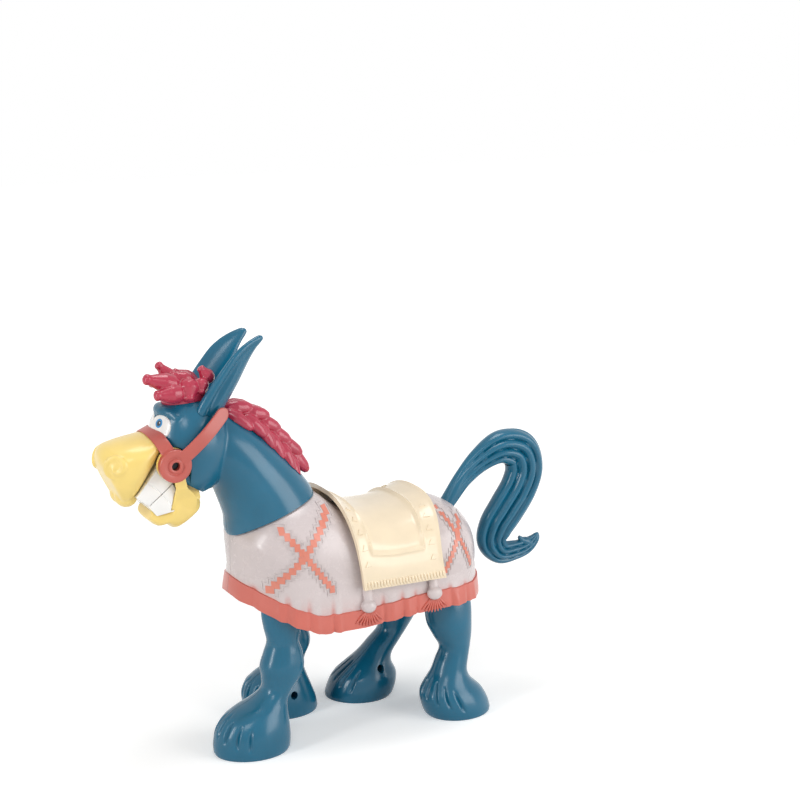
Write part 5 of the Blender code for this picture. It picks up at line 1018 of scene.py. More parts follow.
def blanket_sheet(side, inset, band, lift):
    """Points, faces, material slots and paint drift of one half of the blanket's skin."""
    stations = blanket_stations(inset)
    last = len(stations) - 1
    points, drift, index, faces, slots = [], [], {}, [], []

    def add(key, point, spray=0.0):
        if key not in index:
            index[key] = len(points)
            points.append((point[0], side * max(point[1], FIT_GAP / 2), point[2]))
            drift.append(spray)
        return index[key]

    def upper(station, step):
        if step == SIDE_STEPS and station <= ARC_STEPS:
            return "front pole"
        if step == SIDE_STEPS and station >= ARC_STEPS + RIDGE_STEPS:
            return "rear pole"
        return station, step

    for station, (outer, core, power) in enumerate(stations):
        for step in range(SIDE_STEPS + 1):
            inward, out = powers(math.pi / 2 * step / SIDE_STEPS, power)
            x = core[0] + (outer[0] - core[0]) * inward
            z = core[1] + (outer[1] - core[1]) * inward
            add(upper(station, step), (x, (BODY_HALF_WIDTH - inset) * out, z))
    for station in range(last):
        for step in range(SIDE_STEPS):
            keys = ((station, step), (station + 1, step), (station + 1, step + 1), (station, step + 1))
            corners = list(dict.fromkeys(index[upper(*key)] for key in keys))
            if len(corners) > 2:
                faces.append(tuple(corners))
                slots.append(0)
    equator = [index[upper(0, step)] for step in range(SIDE_STEPS + 1)]
    equator += [index[upper(ARC_STEPS + step, SIDE_STEPS)] for step in range(1, RIDGE_STEPS + 1)]
    equator += [index[upper(last, step)] for step in reversed(range(SIDE_STEPS))]
    middle_x = (NECK_PIVOT[0] - CHEST_DEPTH + RUMP_CORE[0] + RUMP_DEPTH) / 2
    half_length = RUMP_CORE[0] + RUMP_DEPTH - middle_x
    tops = np.array([points[place] for place in equator])
    along = np.gradient(tops[:, :2], axis=0)
    outward = np.stack([-along[:, 1], along[:, 0]], 1)
    outward /= np.maximum(np.linalg.norm(outward, axis=1, keepdims=True), 1e-6)
    outward *= np.sign((outward * (tops[:, :2] - (middle_x, 0))).sum(1, keepdims=True))
    levels = [(row / SKIRT_ROWS, 0.0) for row in range(1, SKIRT_ROWS + 1)]
    levels += [(1.0 + BAND_STEP, lift)]
    levels += [(1.0 + row / BAND_ROWS, lift) for row in range(1, BAND_ROWS + 1)]
    flare_along, flare_across = SKIRT_FLARE
    round_start, round_run, round_depth = HEM_ROUND
    rows = [equator]
    for number, (level, stand) in enumerate(levels):
        made = []
        for place, top in enumerate(equator):
            x, y, z = points[top]
            wave = pleat(x, y)
            hem = hem_height(x) - HEM_WAVE * wave
            edge = hem + band
            low_z = z + (edge - z) * level if level <= 1 else edge - band * (level - 1)
            share = (z - low_z) / max(z - hem, 0.1)
            fold = wave * max(0.0, share - FOLD_START) / (1 - FOLD_START)
            drop = (x - middle_x) / half_length * flare_along * share
            spread = 1 + flare_across * share / BODY_HALF_WIDTH
            rounding = max(0.0, level - round_start) / round_run * round_depth
            push = stand * math.sqrt(max(0.0, 1 - rounding)) + fold
            out_x, out_y = outward[place] * push
            spot = (x + drop + out_x, abs(y) * spread + side * out_y, low_z)
            spray = 0.0
            if SPRAY_START < level <= 1:
                hollow = min(1.0, max(0.0, SPRAY_HOLLOW - wave))
                spray = ((level - SPRAY_START) / (1 - SPRAY_START)) ** 2 * hollow
            made.append(add(("skirt", number, place), spot, spray))
        rows.append(made)
    for number, (above, below) in enumerate(zip(rows, rows[1:])):
        for place in range(len(equator) - 1):
            faces.append((above[place], above[place + 1], below[place + 1], below[place]))
            slots.append(1 if number >= SKIRT_ROWS else 0)
    return points, faces, slots, drift


def drape(tree, x, z, side, rise):
    """A point of the side view laid on the blanket and raised along its normal; None past its outline."""
    spot, normal, _, _ = tree.ray_cast(Vector((x, side * FAR, z)) * MM, Vector((0, -side, 0)))
    if spot is None or abs(normal.y) < STEEPEST_DRAPE:
        return None
    return spot / MM + normal * math.copysign(rise, normal.y * side)


def arm_squares(start, end, count):
    """Centres of the squares along one stepped arm, and the step between them."""
    start, end = Vector(start), Vector(end)
    step = (end - start) / (count - 1)
    return [start + step * number for number in range(count)], step


def within_arm(place, squares, step):
    """Whether a place of the side view lies inside the outline of an arm."""
    reach = (OUTLINE_CELLS + 0.5) / 2
    return any(
        abs(place.x - square.x) < abs(step.x) * reach and abs(place.y - square.y) < abs(step.y) * reach
        for square in squares
    )


def tile(tree, corners, side, rise):
    """A small raised tile over four corners of the side view, or None past the blanket's outline."""
    rings = [[drape(tree, *place, side, level) for place in corners] for level in (-PATTERN_ROOT, rise)]
    if any(point is None for ring in rings for point in ring):
        return None
    return loft(rings)


def outline_edges(squares, step):
    """Ends of the short lines of the stepped outline round an arm, on a grid of half steps."""
    cells = set()
    for number in range(len(squares)):
        for across in range(-OUTLINE_CELLS, OUTLINE_CELLS + 1):
            for up in range(-OUTLINE_CELLS, OUTLINE_CELLS + 1):
                cells.add((2 * number + across, 2 * number + up))

    def spot(i, j):
        return Vector((squares[0].x + (i - 0.5) * step.x / 2, squares[0].y + (j - 0.5) * step.y / 2))

    edges = []
    for i, j in sorted(cells):
        ring = ((i, j), (i + 1, j), (i + 1, j + 1), (i, j + 1))
        beside = ((i, j - 1), (i + 1, j), (i, j + 1), (i - 1, j))
        for a, b, neighbour in zip(ring, ring[1:] + ring[:1], beside):
            if neighbour not in cells:
                edges.append((spot(*a), spot(*b)))
    return edges


def saddle_top(share):
    dip = (2 * share - 1) ** 2
    end_top = SADDLE_FRONT_TOP_Z if share < 0.5 else SADDLE_REAR_TOP_Z
    return SADDLE_MID_TOP_Z + (end_top - SADDLE_MID_TOP_Z) * dip**SADDLE_FLARE_POWER


def saddle_spot(share, angle, inset=0.0):
    """A point of the saddle's skin: share runs from front to rear, angle from the left edge to the right."""
    up, out = powers(angle, SADDLE_POWER)
    front = SADDLE_FRONT[0] + (SADDLE_FRONT[1] - SADDLE_FRONT[0]) * up
    waist = SADDLE_REAR_WAIST * (1 - (2 * up - 1) ** 2)
    rear = SADDLE_REAR[0] + (SADDLE_REAR[1] - SADDLE_REAR[0]) * up - waist
    top = saddle_top(share) - inset
    y = math.copysign(out, angle) * (SADDLE_HALF_WIDTH - inset)
    return Vector((front + (rear - front) * share, y, SADDLE_LOW_Z + (top - SADDLE_LOW_Z) * up))


def saddle_angles(count):
    """Angles of the arch at even spacing along its skin, with the distance of each from the nearer edge."""
    fine = np.linspace(-math.pi / 2, math.pi / 2, SADDLE_FINE)
    spots = np.array([saddle_spot(0.5, angle) for angle in fine])
    run = np.concatenate([[0], np.cumsum(np.linalg.norm(np.diff(spots, axis=0), axis=1))])
    places = np.linspace(0, run[-1], count)
    return np.interp(places, run, fine), np.minimum(places, run[-1] - places)


def saddle_rise(share, edge, bead):
    """How far the saddle's relief stands out: raised borders, a bead frame round each panel and a rim."""
    x = share * SADDLE_LENGTH
    beside = min(abs(x - PANEL[0]), abs(x - PANEL[1]))
    between_beads = PANEL[0] <= x <= PANEL[1]
    if edge > PANEL_EDGE:
        away = min(beside, edge - PANEL_EDGE) if between_beads else beside
    else:
        away = PANEL_EDGE - edge if between_beads else math.hypot(beside, PANEL_EDGE - edge)
    inside = between_beads and edge > PANEL_EDGE
    rise = bead * math.exp(-((away / BEAD_WIDTH) ** 2)) + (0.0 if inside else BORDER_RISE)
    height, width = RIM
    return rise + height * math.exp(-((min(x, SADDLE_LENGTH - x) / width) ** 2))


def saddle_grid(inset, bead):
    """One skin of the saddle pad; the outer one, without an inset, carries the relief."""
    rows, columns = SADDLE_ROWS, SADDLE_COLUMNS
    angles, edges = saddle_angles(columns)
    shares = np.linspace(0, 1, rows)
    points = []
    for share in shares:
        for angle, edge in zip(angles, edges):
            spot = saddle_spot(share, angle, inset)
            if inset == 0.0:
                front, rear = max(share - SHARE_STEP, 0.0), min(share + SHARE_STEP, 1.0)
                ahead = saddle_spot(rear, angle) - saddle_spot(front, angle)
                low, high = max(angle - ANGLE_STEP, -math.pi / 2), min(angle + ANGLE_STEP, math.pi / 2)
                normal = ahead.cross(saddle_spot(share, high) - saddle_spot(share, low)).normalized()
                spot += normal * (saddle_rise(share, edge, bead) - SADDLE_SINK)
            points.append(spot)
    faces = []
    for row in range(rows - 1):
        for column in range(columns - 1):
            corner = row * columns + column
            faces.append((corner, corner + 1, corner + columns + 1, corner + columns))
    return points, faces


def head_ball(grow=0.0):
    return ball(HEAD_CENTRE, HEAD_RADII, grow, *HEAD_MESH)


def eye_ball(side, grow=0.0):
    return ball(mirrored(EYE_CENTRE, side), EYE_RADII, grow, *EYE_MESH)


def shoulder_barrel(grow):
    """The shoulder as a body turned about the neck pivot."""
    profile = []
    for step in range(-BARREL_STEPS, BARREL_STEPS + 1):
        inward, out = powers(math.radians(BARREL_ANGLE) * step / BARREL_STEPS, BODY_POWER)
        y = math.copysign(out, step) * (BODY_HALF_WIDTH + grow)
        profile.append((y, SHOULDER_RADIUS * inward + grow))
    return turned((NECK_PIVOT[0], 0, NECK_PIVOT[1]), (0, 1, 0), profile, BARREL_SIDES)


def mouth_wedge(y0, y1, turn=0.0):
    """The corner below the mouth line that is left open for the jaw, turned about the jaw's pivot."""
    rear, front = Vector(MOUTH_LINE[0]), Vector(MOUTH_LINE[1])
    along = (rear - front).normalized()
    down = Vector((along.y, -along.x))
    start, end = front - along * FAR, rear + along * MOUTH_LINE_RUN
    pivot = Vector(JAW_PIVOT)
    spin = Matrix.Rotation(math.radians(turn), 2)
    outline = [pivot + spin @ (spot - pivot) for spot in (start, end, end + down * FAR, start + down * FAR)]
    return slab([tuple(spot) for spot in outline], min(y0, y1), max(y0, y1))


def jaw_seat(side):
    """The recess in a cheek where the jaw's hub and arm swing."""
    x, z = JAW_PIVOT
    reach = JAW_HUB_RADIUS + RUN_GAP
    low = z - HEAD_RADII[2]
    rear = x + JAW_SEAT_DEPTH + math.sin(math.radians(JAW_SEAT_SWING)) * HEAD_RADII[2]
    outline = ((x - reach, z), (x + reach, z), (rear, low), (-FAR, low))
    ends = span(side, JAW_HUB_Y[0] - JAW_SEAT_GAP, FAR)
    return rod(x, z, reach, *ends, HUB_SIDES), slab(outline, *ends)


def brow(side):
    """The ridge over one eye, from the middle of the forehead to a knob at its outer end."""
    path = between([mirrored(row, side) for row in BROW_LINE], BROW_ROWS)
    girth = between([(row[3],) for row in BROW_LINE], BROW_ROWS)[:, 0]
    return swept(path, girth, girth, BROW_LEAN)


def nostril(tree, side):
    """The shell-like swirl of one nostril, laid on the muzzle's skin."""
    out = Vector(mirrored(NOSTRIL_LOOK, side)).normalized()
    centre = Vector(mirrored(NOSTRIL_CENTRE, side))
    up = (Vector((0, 0, 1)) - out * out.z).normalized()
    beside = up.cross(out) * side
    shares = np.linspace(0, 1, NOSTRIL_STEPS)
    path = []
    for share in shares:
        turn = math.radians(NOSTRIL_TURNS[0] + NOSTRIL_TURNS[1] * share)
        reach = NOSTRIL_RADII[0] + (NOSTRIL_RADII[1] - NOSTRIL_RADII[0]) * share
        start = centre + (beside * math.cos(turn) + up * math.sin(turn)) * reach + out * FAR
        path.append(tree.ray_cast(start, -out)[0])
    girth = np.interp(shares, NOSTRIL_SHARES, NOSTRIL_GIRTH)
    return swept(path, girth * NOSTRIL_FLATNESS, girth, out)


def snout(grow=0.0):
    return span_loft(MUZZLE_RINGS, grow, *MUZZLE_MESH, MUZZLE_POWERS)


def lip_lobe(side, grow=0.0):
    """One half of the upper lip that hangs below the muzzle."""
    return ball(mirrored(LIP_CENTRE, side), LIP_RADII, grow)


def chin(grow=0.0):
    return span_loft(JAW_RINGS, grow, *JAW_MESH, JAW_POWERS)


def neck_tube(grow=0.0):
    return span_loft(NECK_RINGS, grow, *NECK_MESH)


def jaw_arm(side, grow=0.0):
    rings = []
    for drop, shift, depth, inner, outer in JAW_ARM_LEVELS:
        x, z, half = JAW_PIVOT[0] + shift, JAW_PIVOT[1] - drop, depth + grow
        low, high = (inner - grow) * side, (outer + grow) * side
        rings.append([(x - half, low, z), (x + half, low, z), (x + half, high, z), (x - half, high, z)])
    return loft(rings)


def jaw_web(side, grow=0.0):
    """The wall of the jaw that closes the mouth's corner inside a cheek."""
    inner, outer = JAW_WEB_Y
    return slab(JAW_WEB, *span(side, inner - grow, outer + grow))


def tooth_row(name, outline, seams, cuts):
    """A row of rounded teeth: a block along the bite on each side and split blocks at the front."""
    rear, front, lip, back = (Vector(spot) for spot in outline)
    shapes = []
    for (start, start_root), (end, end_root) in zip(seams, seams[1:]):
        a, b = rear.lerp(front, start + TOOTH_GAP), rear.lerp(front, end - TOOTH_GAP)
        c, d = back.lerp(lip, end_root - TOOTH_GAP), back.lerp(lip, start_root + TOOTH_GAP)
        splits = (TOOTH_SPLIT,) if end == 1.0 else ()
        columns = (TOOTH_INSET, *splits, TEETH_HALF_WIDTH)
        for side in (-1, 1):
            for inner, outer in zip(columns, columns[1:]):
                ends = span(side, inner, outer - TOOTH_INSET)
                shapes.append(slab([tuple(spot) for spot in (a, b, c, d)], *ends))
    obj = make(name, joined(*shapes))
    centre = (rear + front + lip + back) / 4
    inner = [tuple(centre + (spot - centre) * TOOTH_CORE) for spot in (rear, front, lip, back)]
    core = slab(inner, -TEETH_HALF_WIDTH * TOOTH_CORE, TEETH_HALF_WIDTH * TOOTH_CORE)
    edge = obj.modifiers.new("rounded", "BEVEL")
    edge.width = TOOTH_ROUND * MM
    edge.segments = 4
    edge.limit_method = "ANGLE"
    return carved(carved(settled(obj), core, operation="UNION"), *cuts)


def strap(path, normals, sideways, widths):
    """A flat band with rounded edges along a path that has an outward normal and a width at each step."""
    across = Vector(sideways).normalized()
    turns = [math.tau * part / STRAP_SIDES for part in range(STRAP_SIDES)]
    rings = []
    for spot, out, width in zip(path, normals, widths):
        out = Vector(out).normalized() * STRAP_THICKNESS / 2
        ring = []
        for turn in turns:
            wide, high = powers(turn, STRAP_POWER)
            beside = across * width / 2 * math.copysign(wide, math.cos(turn))
            ring.append(Vector(spot) + beside + out * (1 + math.copysign(high, math.sin(turn))))
        rings.append(ring)
    return loft(rings)


def ear_leaf(side, grow=0.0):
    """One ear: a long bowed leaf with a groove beside its front rim."""
    table = between(EAR_LINE, EAR_ROWS)
    base, tip = table[0], table[-1]
    along = Vector((tip[0] - base[0], (EAR_TIP_Y - EAR_ROOT_Y) * side, tip[1] - base[1])).normalized()
    place, spread, deep, stop = EAR_GROOVE
    start, run = EAR_GROOVE_START
    rings = []
    for row, (x, z, half, depth) in enumerate(table):
        share = row / (EAR_ROWS - 1)
        turned_out = EAR_TURNS[0] + (EAR_TURNS[1] - EAR_TURNS[0]) * share
        wide = Vector((along.z, -turned_out * side, -along.x))
        wide = (wide - along * wide.dot(along)).normalized()
        thick = along.cross(wide) * side
        centre = Vector((x, (EAR_ROOT_Y + (EAR_TIP_Y - EAR_ROOT_Y) * share) * side, z))
        groove = deep * max(0.0, 1 - (share / stop) ** 3) * min(1.0, max(0.0, share - start) / run)
        ring = []
        for part in range(EAR_SIDES):
            turn = math.tau * part / EAR_SIDES
            across, up = math.cos(turn), math.sin(turn)
            if up > 0:
                up -= groove * math.exp(-(((across - place) / spread) ** 2)) * up
            ring.append(centre + wide * (half + grow) * across + thick * (depth + grow) * up)
        rings.append(ring)
    return loft(rings)


def tuft(root, tip, radius):
    """A plump tuft of hair that thins to a neck and ends in a small ball."""
    root, tip = Vector(root), Vector(tip)
    shares = np.linspace(0, 1, TUFT_STEPS)
    path = [root.lerp(tip, share) for share in shares]
    girth = radius * np.interp(shares, TUFT_SHARES, TUFT_GIRTH)
    return swept(path, girth, girth, (tip - root).orthogonal())


def crest(share):
    """A place on the mane's crest line with its direction."""
    line = between(MANE_CREST, CREST_STEPS + 1)
    place = share * CREST_STEPS
    start = min(int(place), CREST_STEPS - 1)
    spot = line[start] + (line[start + 1] - line[start]) * (place - start)
    return Vector(spot), Vector(line[start + 1] - line[start]).normalized()


def mane_leaf(share, side, row):
    """One leaf-shaped lock of a row, which lies along the crest and points down and out."""
    root_y, tip_y, depth, run, drop, girth = row
    spot, along = crest(share)
    inward = Vector((along.y, -along.x))
    start = spot + inward * depth
    end = start + along * run + inward * drop
    root, tip = Vector((start.x, side * root_y, start.y)), Vector((end.x, side * tip_y, end.y))
    swell = (root + tip) / 2 + Vector((-inward.x, side * LEAF_SWELL, -inward.y))
    shares = np.linspace(0, 1, LEAF_STEPS)
    path = [bezier(root, swell, tip, step) for step in shares]
    widths = girth * np.interp(shares, LEAF_SHARES, LEAF_GIRTH)
    return swept(path, widths, widths * LEAF_FLATNESS, (inward.x, LEAF_LEAN * side, inward.y))


def mane_core():
    """The ridge that the locks stand on."""
    path = []
    for share in np.linspace(0, 1, MANE_CORE_STEPS):
        spot, along = crest(share)
        spot = spot + Vector((along.y, -along.x)) * MANE_CORE_RADIUS
        path.append((spot.x, 0.0, spot.y))
    at_end, along_it = MANE_CORE_GIRTH
    girth = [MANE_CORE_RADIUS * along_it] * MANE_CORE_STEPS
    girth[0] = girth[-1] = MANE_CORE_RADIUS * at_end
    return swept(path, girth, girth)


def tail_shape():
    """A flat plume with round strands and sharp grooves that wander across it along its length."""
    table = between(TAIL_LINE, TAIL_ROWS)
    ways = np.gradient(table[:, :2], axis=0)
    start, rise, fade = TAIL_RIB_RUNS
    swing, rate, shift = TAIL_WANDER
    rings = []
    for row, ((x, z, half), way) in enumerate(zip(table, ways)):
        share = row / (TAIL_ROWS - 1)
        way = Vector(way).normalized()
        across = Vector((-way.y, 0, way.x))
        depth = half * (1.0 - (1 - TAIL_DEPTH_SHARE) * min(1.0, share / TAIL_FLAT_RUN))
        end = math.sqrt(max(0.02, 1 - max(0.0, (share - 1 + TAIL_TIP_RUN) / TAIL_TIP_RUN) ** 2))
        height = TAIL_RIB_HEIGHT * half * min(1.0, max(0.0, share - start) / rise, (1 - share) / fade)
        wander = swing * math.sin(rate * share) + shift
        ring = []
        for part in range(TAIL_SIDES):
            turn = math.tau * part / TAIL_SIDES
            wave = abs(math.sin(math.pi * (TAIL_STRANDS * math.cos(turn) + wander)))
            lift = height * (2 * wave**TAIL_STRAND_POWER - TAIL_STRAND_SINK)
            ring.append(
                Vector((x, 0, z))
                + across * (half + lift * TAIL_EDGE_LIFT) * end * math.cos(turn)
                + Vector((0, (depth + lift) * end * math.sin(turn), 0))
            )
        rings.append(ring)
    return loft(rings)


def leg_centre(pair, side, z):
    """Where a leg's centre line stands at a height, with the share of the way down."""
    facts = LEGS[pair]
    hip_x, hip_z = facts["hip"]
    share = max(0.0, (hip_z - z) / hip_z)
    x = hip_x + facts["stride"] * side * share ** facts["power"]
    return x, side * (HIP_Y + (facts["hoof_y"] - HIP_Y) * share), share


def toe_dent(toe, z, folded):
    """How deep the creases of a hoof are at an angle from the toe and a height, as a share."""
    middle = TOE_HEIGHT - TOE_SLOPE * abs(toe)
    window = max(0.0, 1 - ((z - middle) / TOE_HALF_LENGTH) ** 2)
    dent = sum(math.exp(-(((toe - place) / TOE_WIDTH) ** 2)) for place in TOE_ANGLES) * window**0.5
    height, width, depth, reach = ANKLE_CREASE
    fold = folded * depth * math.exp(-(((z - height) / width) ** 2)) * max(0.0, 1 - (toe / reach) ** 2)
    return dent + fold


def leg_skin(pair, side, crease):
    """The skin of one leg with creases between the toes of its hoof."""
    rings = []
    turn_full = math.radians(LEGS[pair]["turn"])
    for z, shift, half_length, half_width in between(LEG_STATIONS[pair], LEG_ROWS):
        x, y, share = leg_centre(pair, side, z)
        turn = turn_full * max(0.0, share * 2 - 1) * -side
        round_under = SOLE_ROUND[0] * max(0.0, 1 - z / SOLE_ROUND[1])
        ring = []
        for part in range(LEG_SIDES):
            angle = math.tau * part / LEG_SIDES
            toe = math.degrees(math.atan2(math.sin(angle), -math.cos(angle)))
            pull = crease * toe_dent(toe * -side, z, LEGS[pair]["fold"]) + round_under
            along = (half_length - pull) * math.cos(angle)
            beside = (half_width - pull) * math.sin(angle)
            ring.append(
                (
                    x + shift + along * math.cos(turn) - beside * math.sin(turn),
                    y + along * math.sin(turn) + beside * math.cos(turn),
                    max(z, 0.0),
                )
            )
        rings.append(ring)
    return loft(rings)


def leg_arm(pair, side):
    """The slotted arm that a crank pin moves."""
    hip, crank = Vector(LEGS[pair]["hip"]), Vector((CRANK[0], CRANK[1] + CRANK_THROW * side))
    along = (crank - hip).normalized()
    across = Vector((-along.y, along.x))
    low, high = span(side, *ARM[pair])
    bar = bar_outline(hip, crank + along * ARM_PAST_CRANK, across * ARM_HALF_WIDTH)
    half_length, half_width = ARM_SLOT
    slot = bar_outline(crank - along * half_length, crank + along * half_length, across * half_width)
    return slab(bar, low, high), slab(slot, low - 1, high + 1)


def screw_cuts(pair, side):
    """The hole of the screw that joins both halves of a leg, and the well for its head."""
    shift, height = LEGS[pair]["screw"]
    x = leg_centre(pair, side, height)[0] + shift
    seat = HIP_Y - SCREW_SEAT
    hole = rod(x, height, SCREW_RADIUS, *span(side, seat - 1, seat + SCREW_RUN))
    return hole, rod(x, height, SCREW_WELL_RADIUS, *span(side, 0, seat))


def seen_white(tree):
    """One for the rays that show the surround: seen directly, mirrored or through glass."""
    ray = node(tree, "ShaderNodeLightPath")
    seen, mirrored = ray.outputs["Is Camera Ray"], ray.outputs["Is Glossy Ray"]
    either = node(tree, "ShaderNodeMath", {0: seen, 1: mirrored}, operation="MAXIMUM")
    through = ray.outputs["Is Transmission Ray"]
    return node(tree, "ShaderNodeMath", {0: either.outputs[0], 1: through}, operation="MAXIMUM").outputs[0]


class DONKEY_OT_stage(bpy.types.Operator):
    """Floor, lights, white surround and the camera at the photographed angle."""

    bl_idname = "donkey.stage"
    bl_label = "Stage"

    def execute(self, context):
        scene = context.scene
        scene.view_settings.view_transform = "Standard"
        lens = bpy.data.cameras.new("camera")
        lens.sensor_width = SENSOR
        lens.lens = LENS
        lens.clip_start, lens.clip_end = 0.05, 20.0
        camera = bpy.data.objects.new("camera", lens)
        camera.location = CAMERA_PLACE
        camera.rotation_euler = [math.radians(degrees) for degrees in CAMERA_TURN]
        scene.collection.objects.link(camera)
        scene.camera = camera
        world = bpy.data.worlds.new("white surround")
        world.use_nodes = True
        tree = world.node_tree
        tree.nodes.clear()
        level = node(tree, "ShaderNodeMapRange", {"Value": seen_white(tree), 3: SURROUND_LIGHT, 4: 1.0})
        sky = node(tree, "ShaderNodeBackground", {"Color": (1, 1, 1, 1), "Strength": level.outputs[0]})
        node(tree, "ShaderNodeOutputWorld", {"Surface": sky.outputs[0]})
        scene.world = world
        for name, place, aim, size, power in LAMPS:
            lamp = bpy.data.lights.new(name, "AREA")
            lamp.shape = "RECTANGLE"
            lamp.size, lamp.size_y = size
            lamp.energy = power
            holder = bpy.data.objects.new(name, lamp)
            holder.location = place
            holder.rotation_euler = (Vector(aim) - Vector(place)).to_track_quat("-Z", "Y").to_euler()
            scene.collection.objects.link(holder)
        corners = [(x * FLOOR_REACH, y * FLOOR_REACH, 0) for x, y in ((-1, -1), (1, -1), (1, 1), (-1, 1))]
        floor = make("floor", (corners, [(0, 1, 2, 3)]))
        # Matt white paper: it takes the soft shadow and stays white to the eye
        settings = {"Roughness": 0.9, "Specular IOR Level": 0.0, "Emission Color": (1, 1, 1, 1)}
        material, tree, shader, place = blank("matt_white_paper", settings)
        shade = mapped(tree, noise(tree, place, FIBRE_GRAIN, 3.0), 0.0, 1.0, *FIBRE_RANGE)
        tone = tuple(scene.donkey_colours.floor)
        tint = node(tree, "ShaderNodeVectorMath", {0: tone, "Scale": shade}, operation="SCALE")
        tree.links.new(tint.outputs[0], shader.inputs["Base Color"])
        away = node(tree, "ShaderNodeVectorMath", {0: place}, operation="LENGTH")
        glow = node(tree, "ShaderNodeMapRange", {"Value": away.outputs["Value"], **FLOOR_GLOW})
        lit = node(tree, "ShaderNodeMath", {0: seen_white(tree), 1: glow.outputs[0]}, operation="MULTIPLY")
        tree.links.new(lit.outputs[0], shader.inputs["Emission Strength"])
        floor.data.materials.append(material)
        return {"FINISHED"}


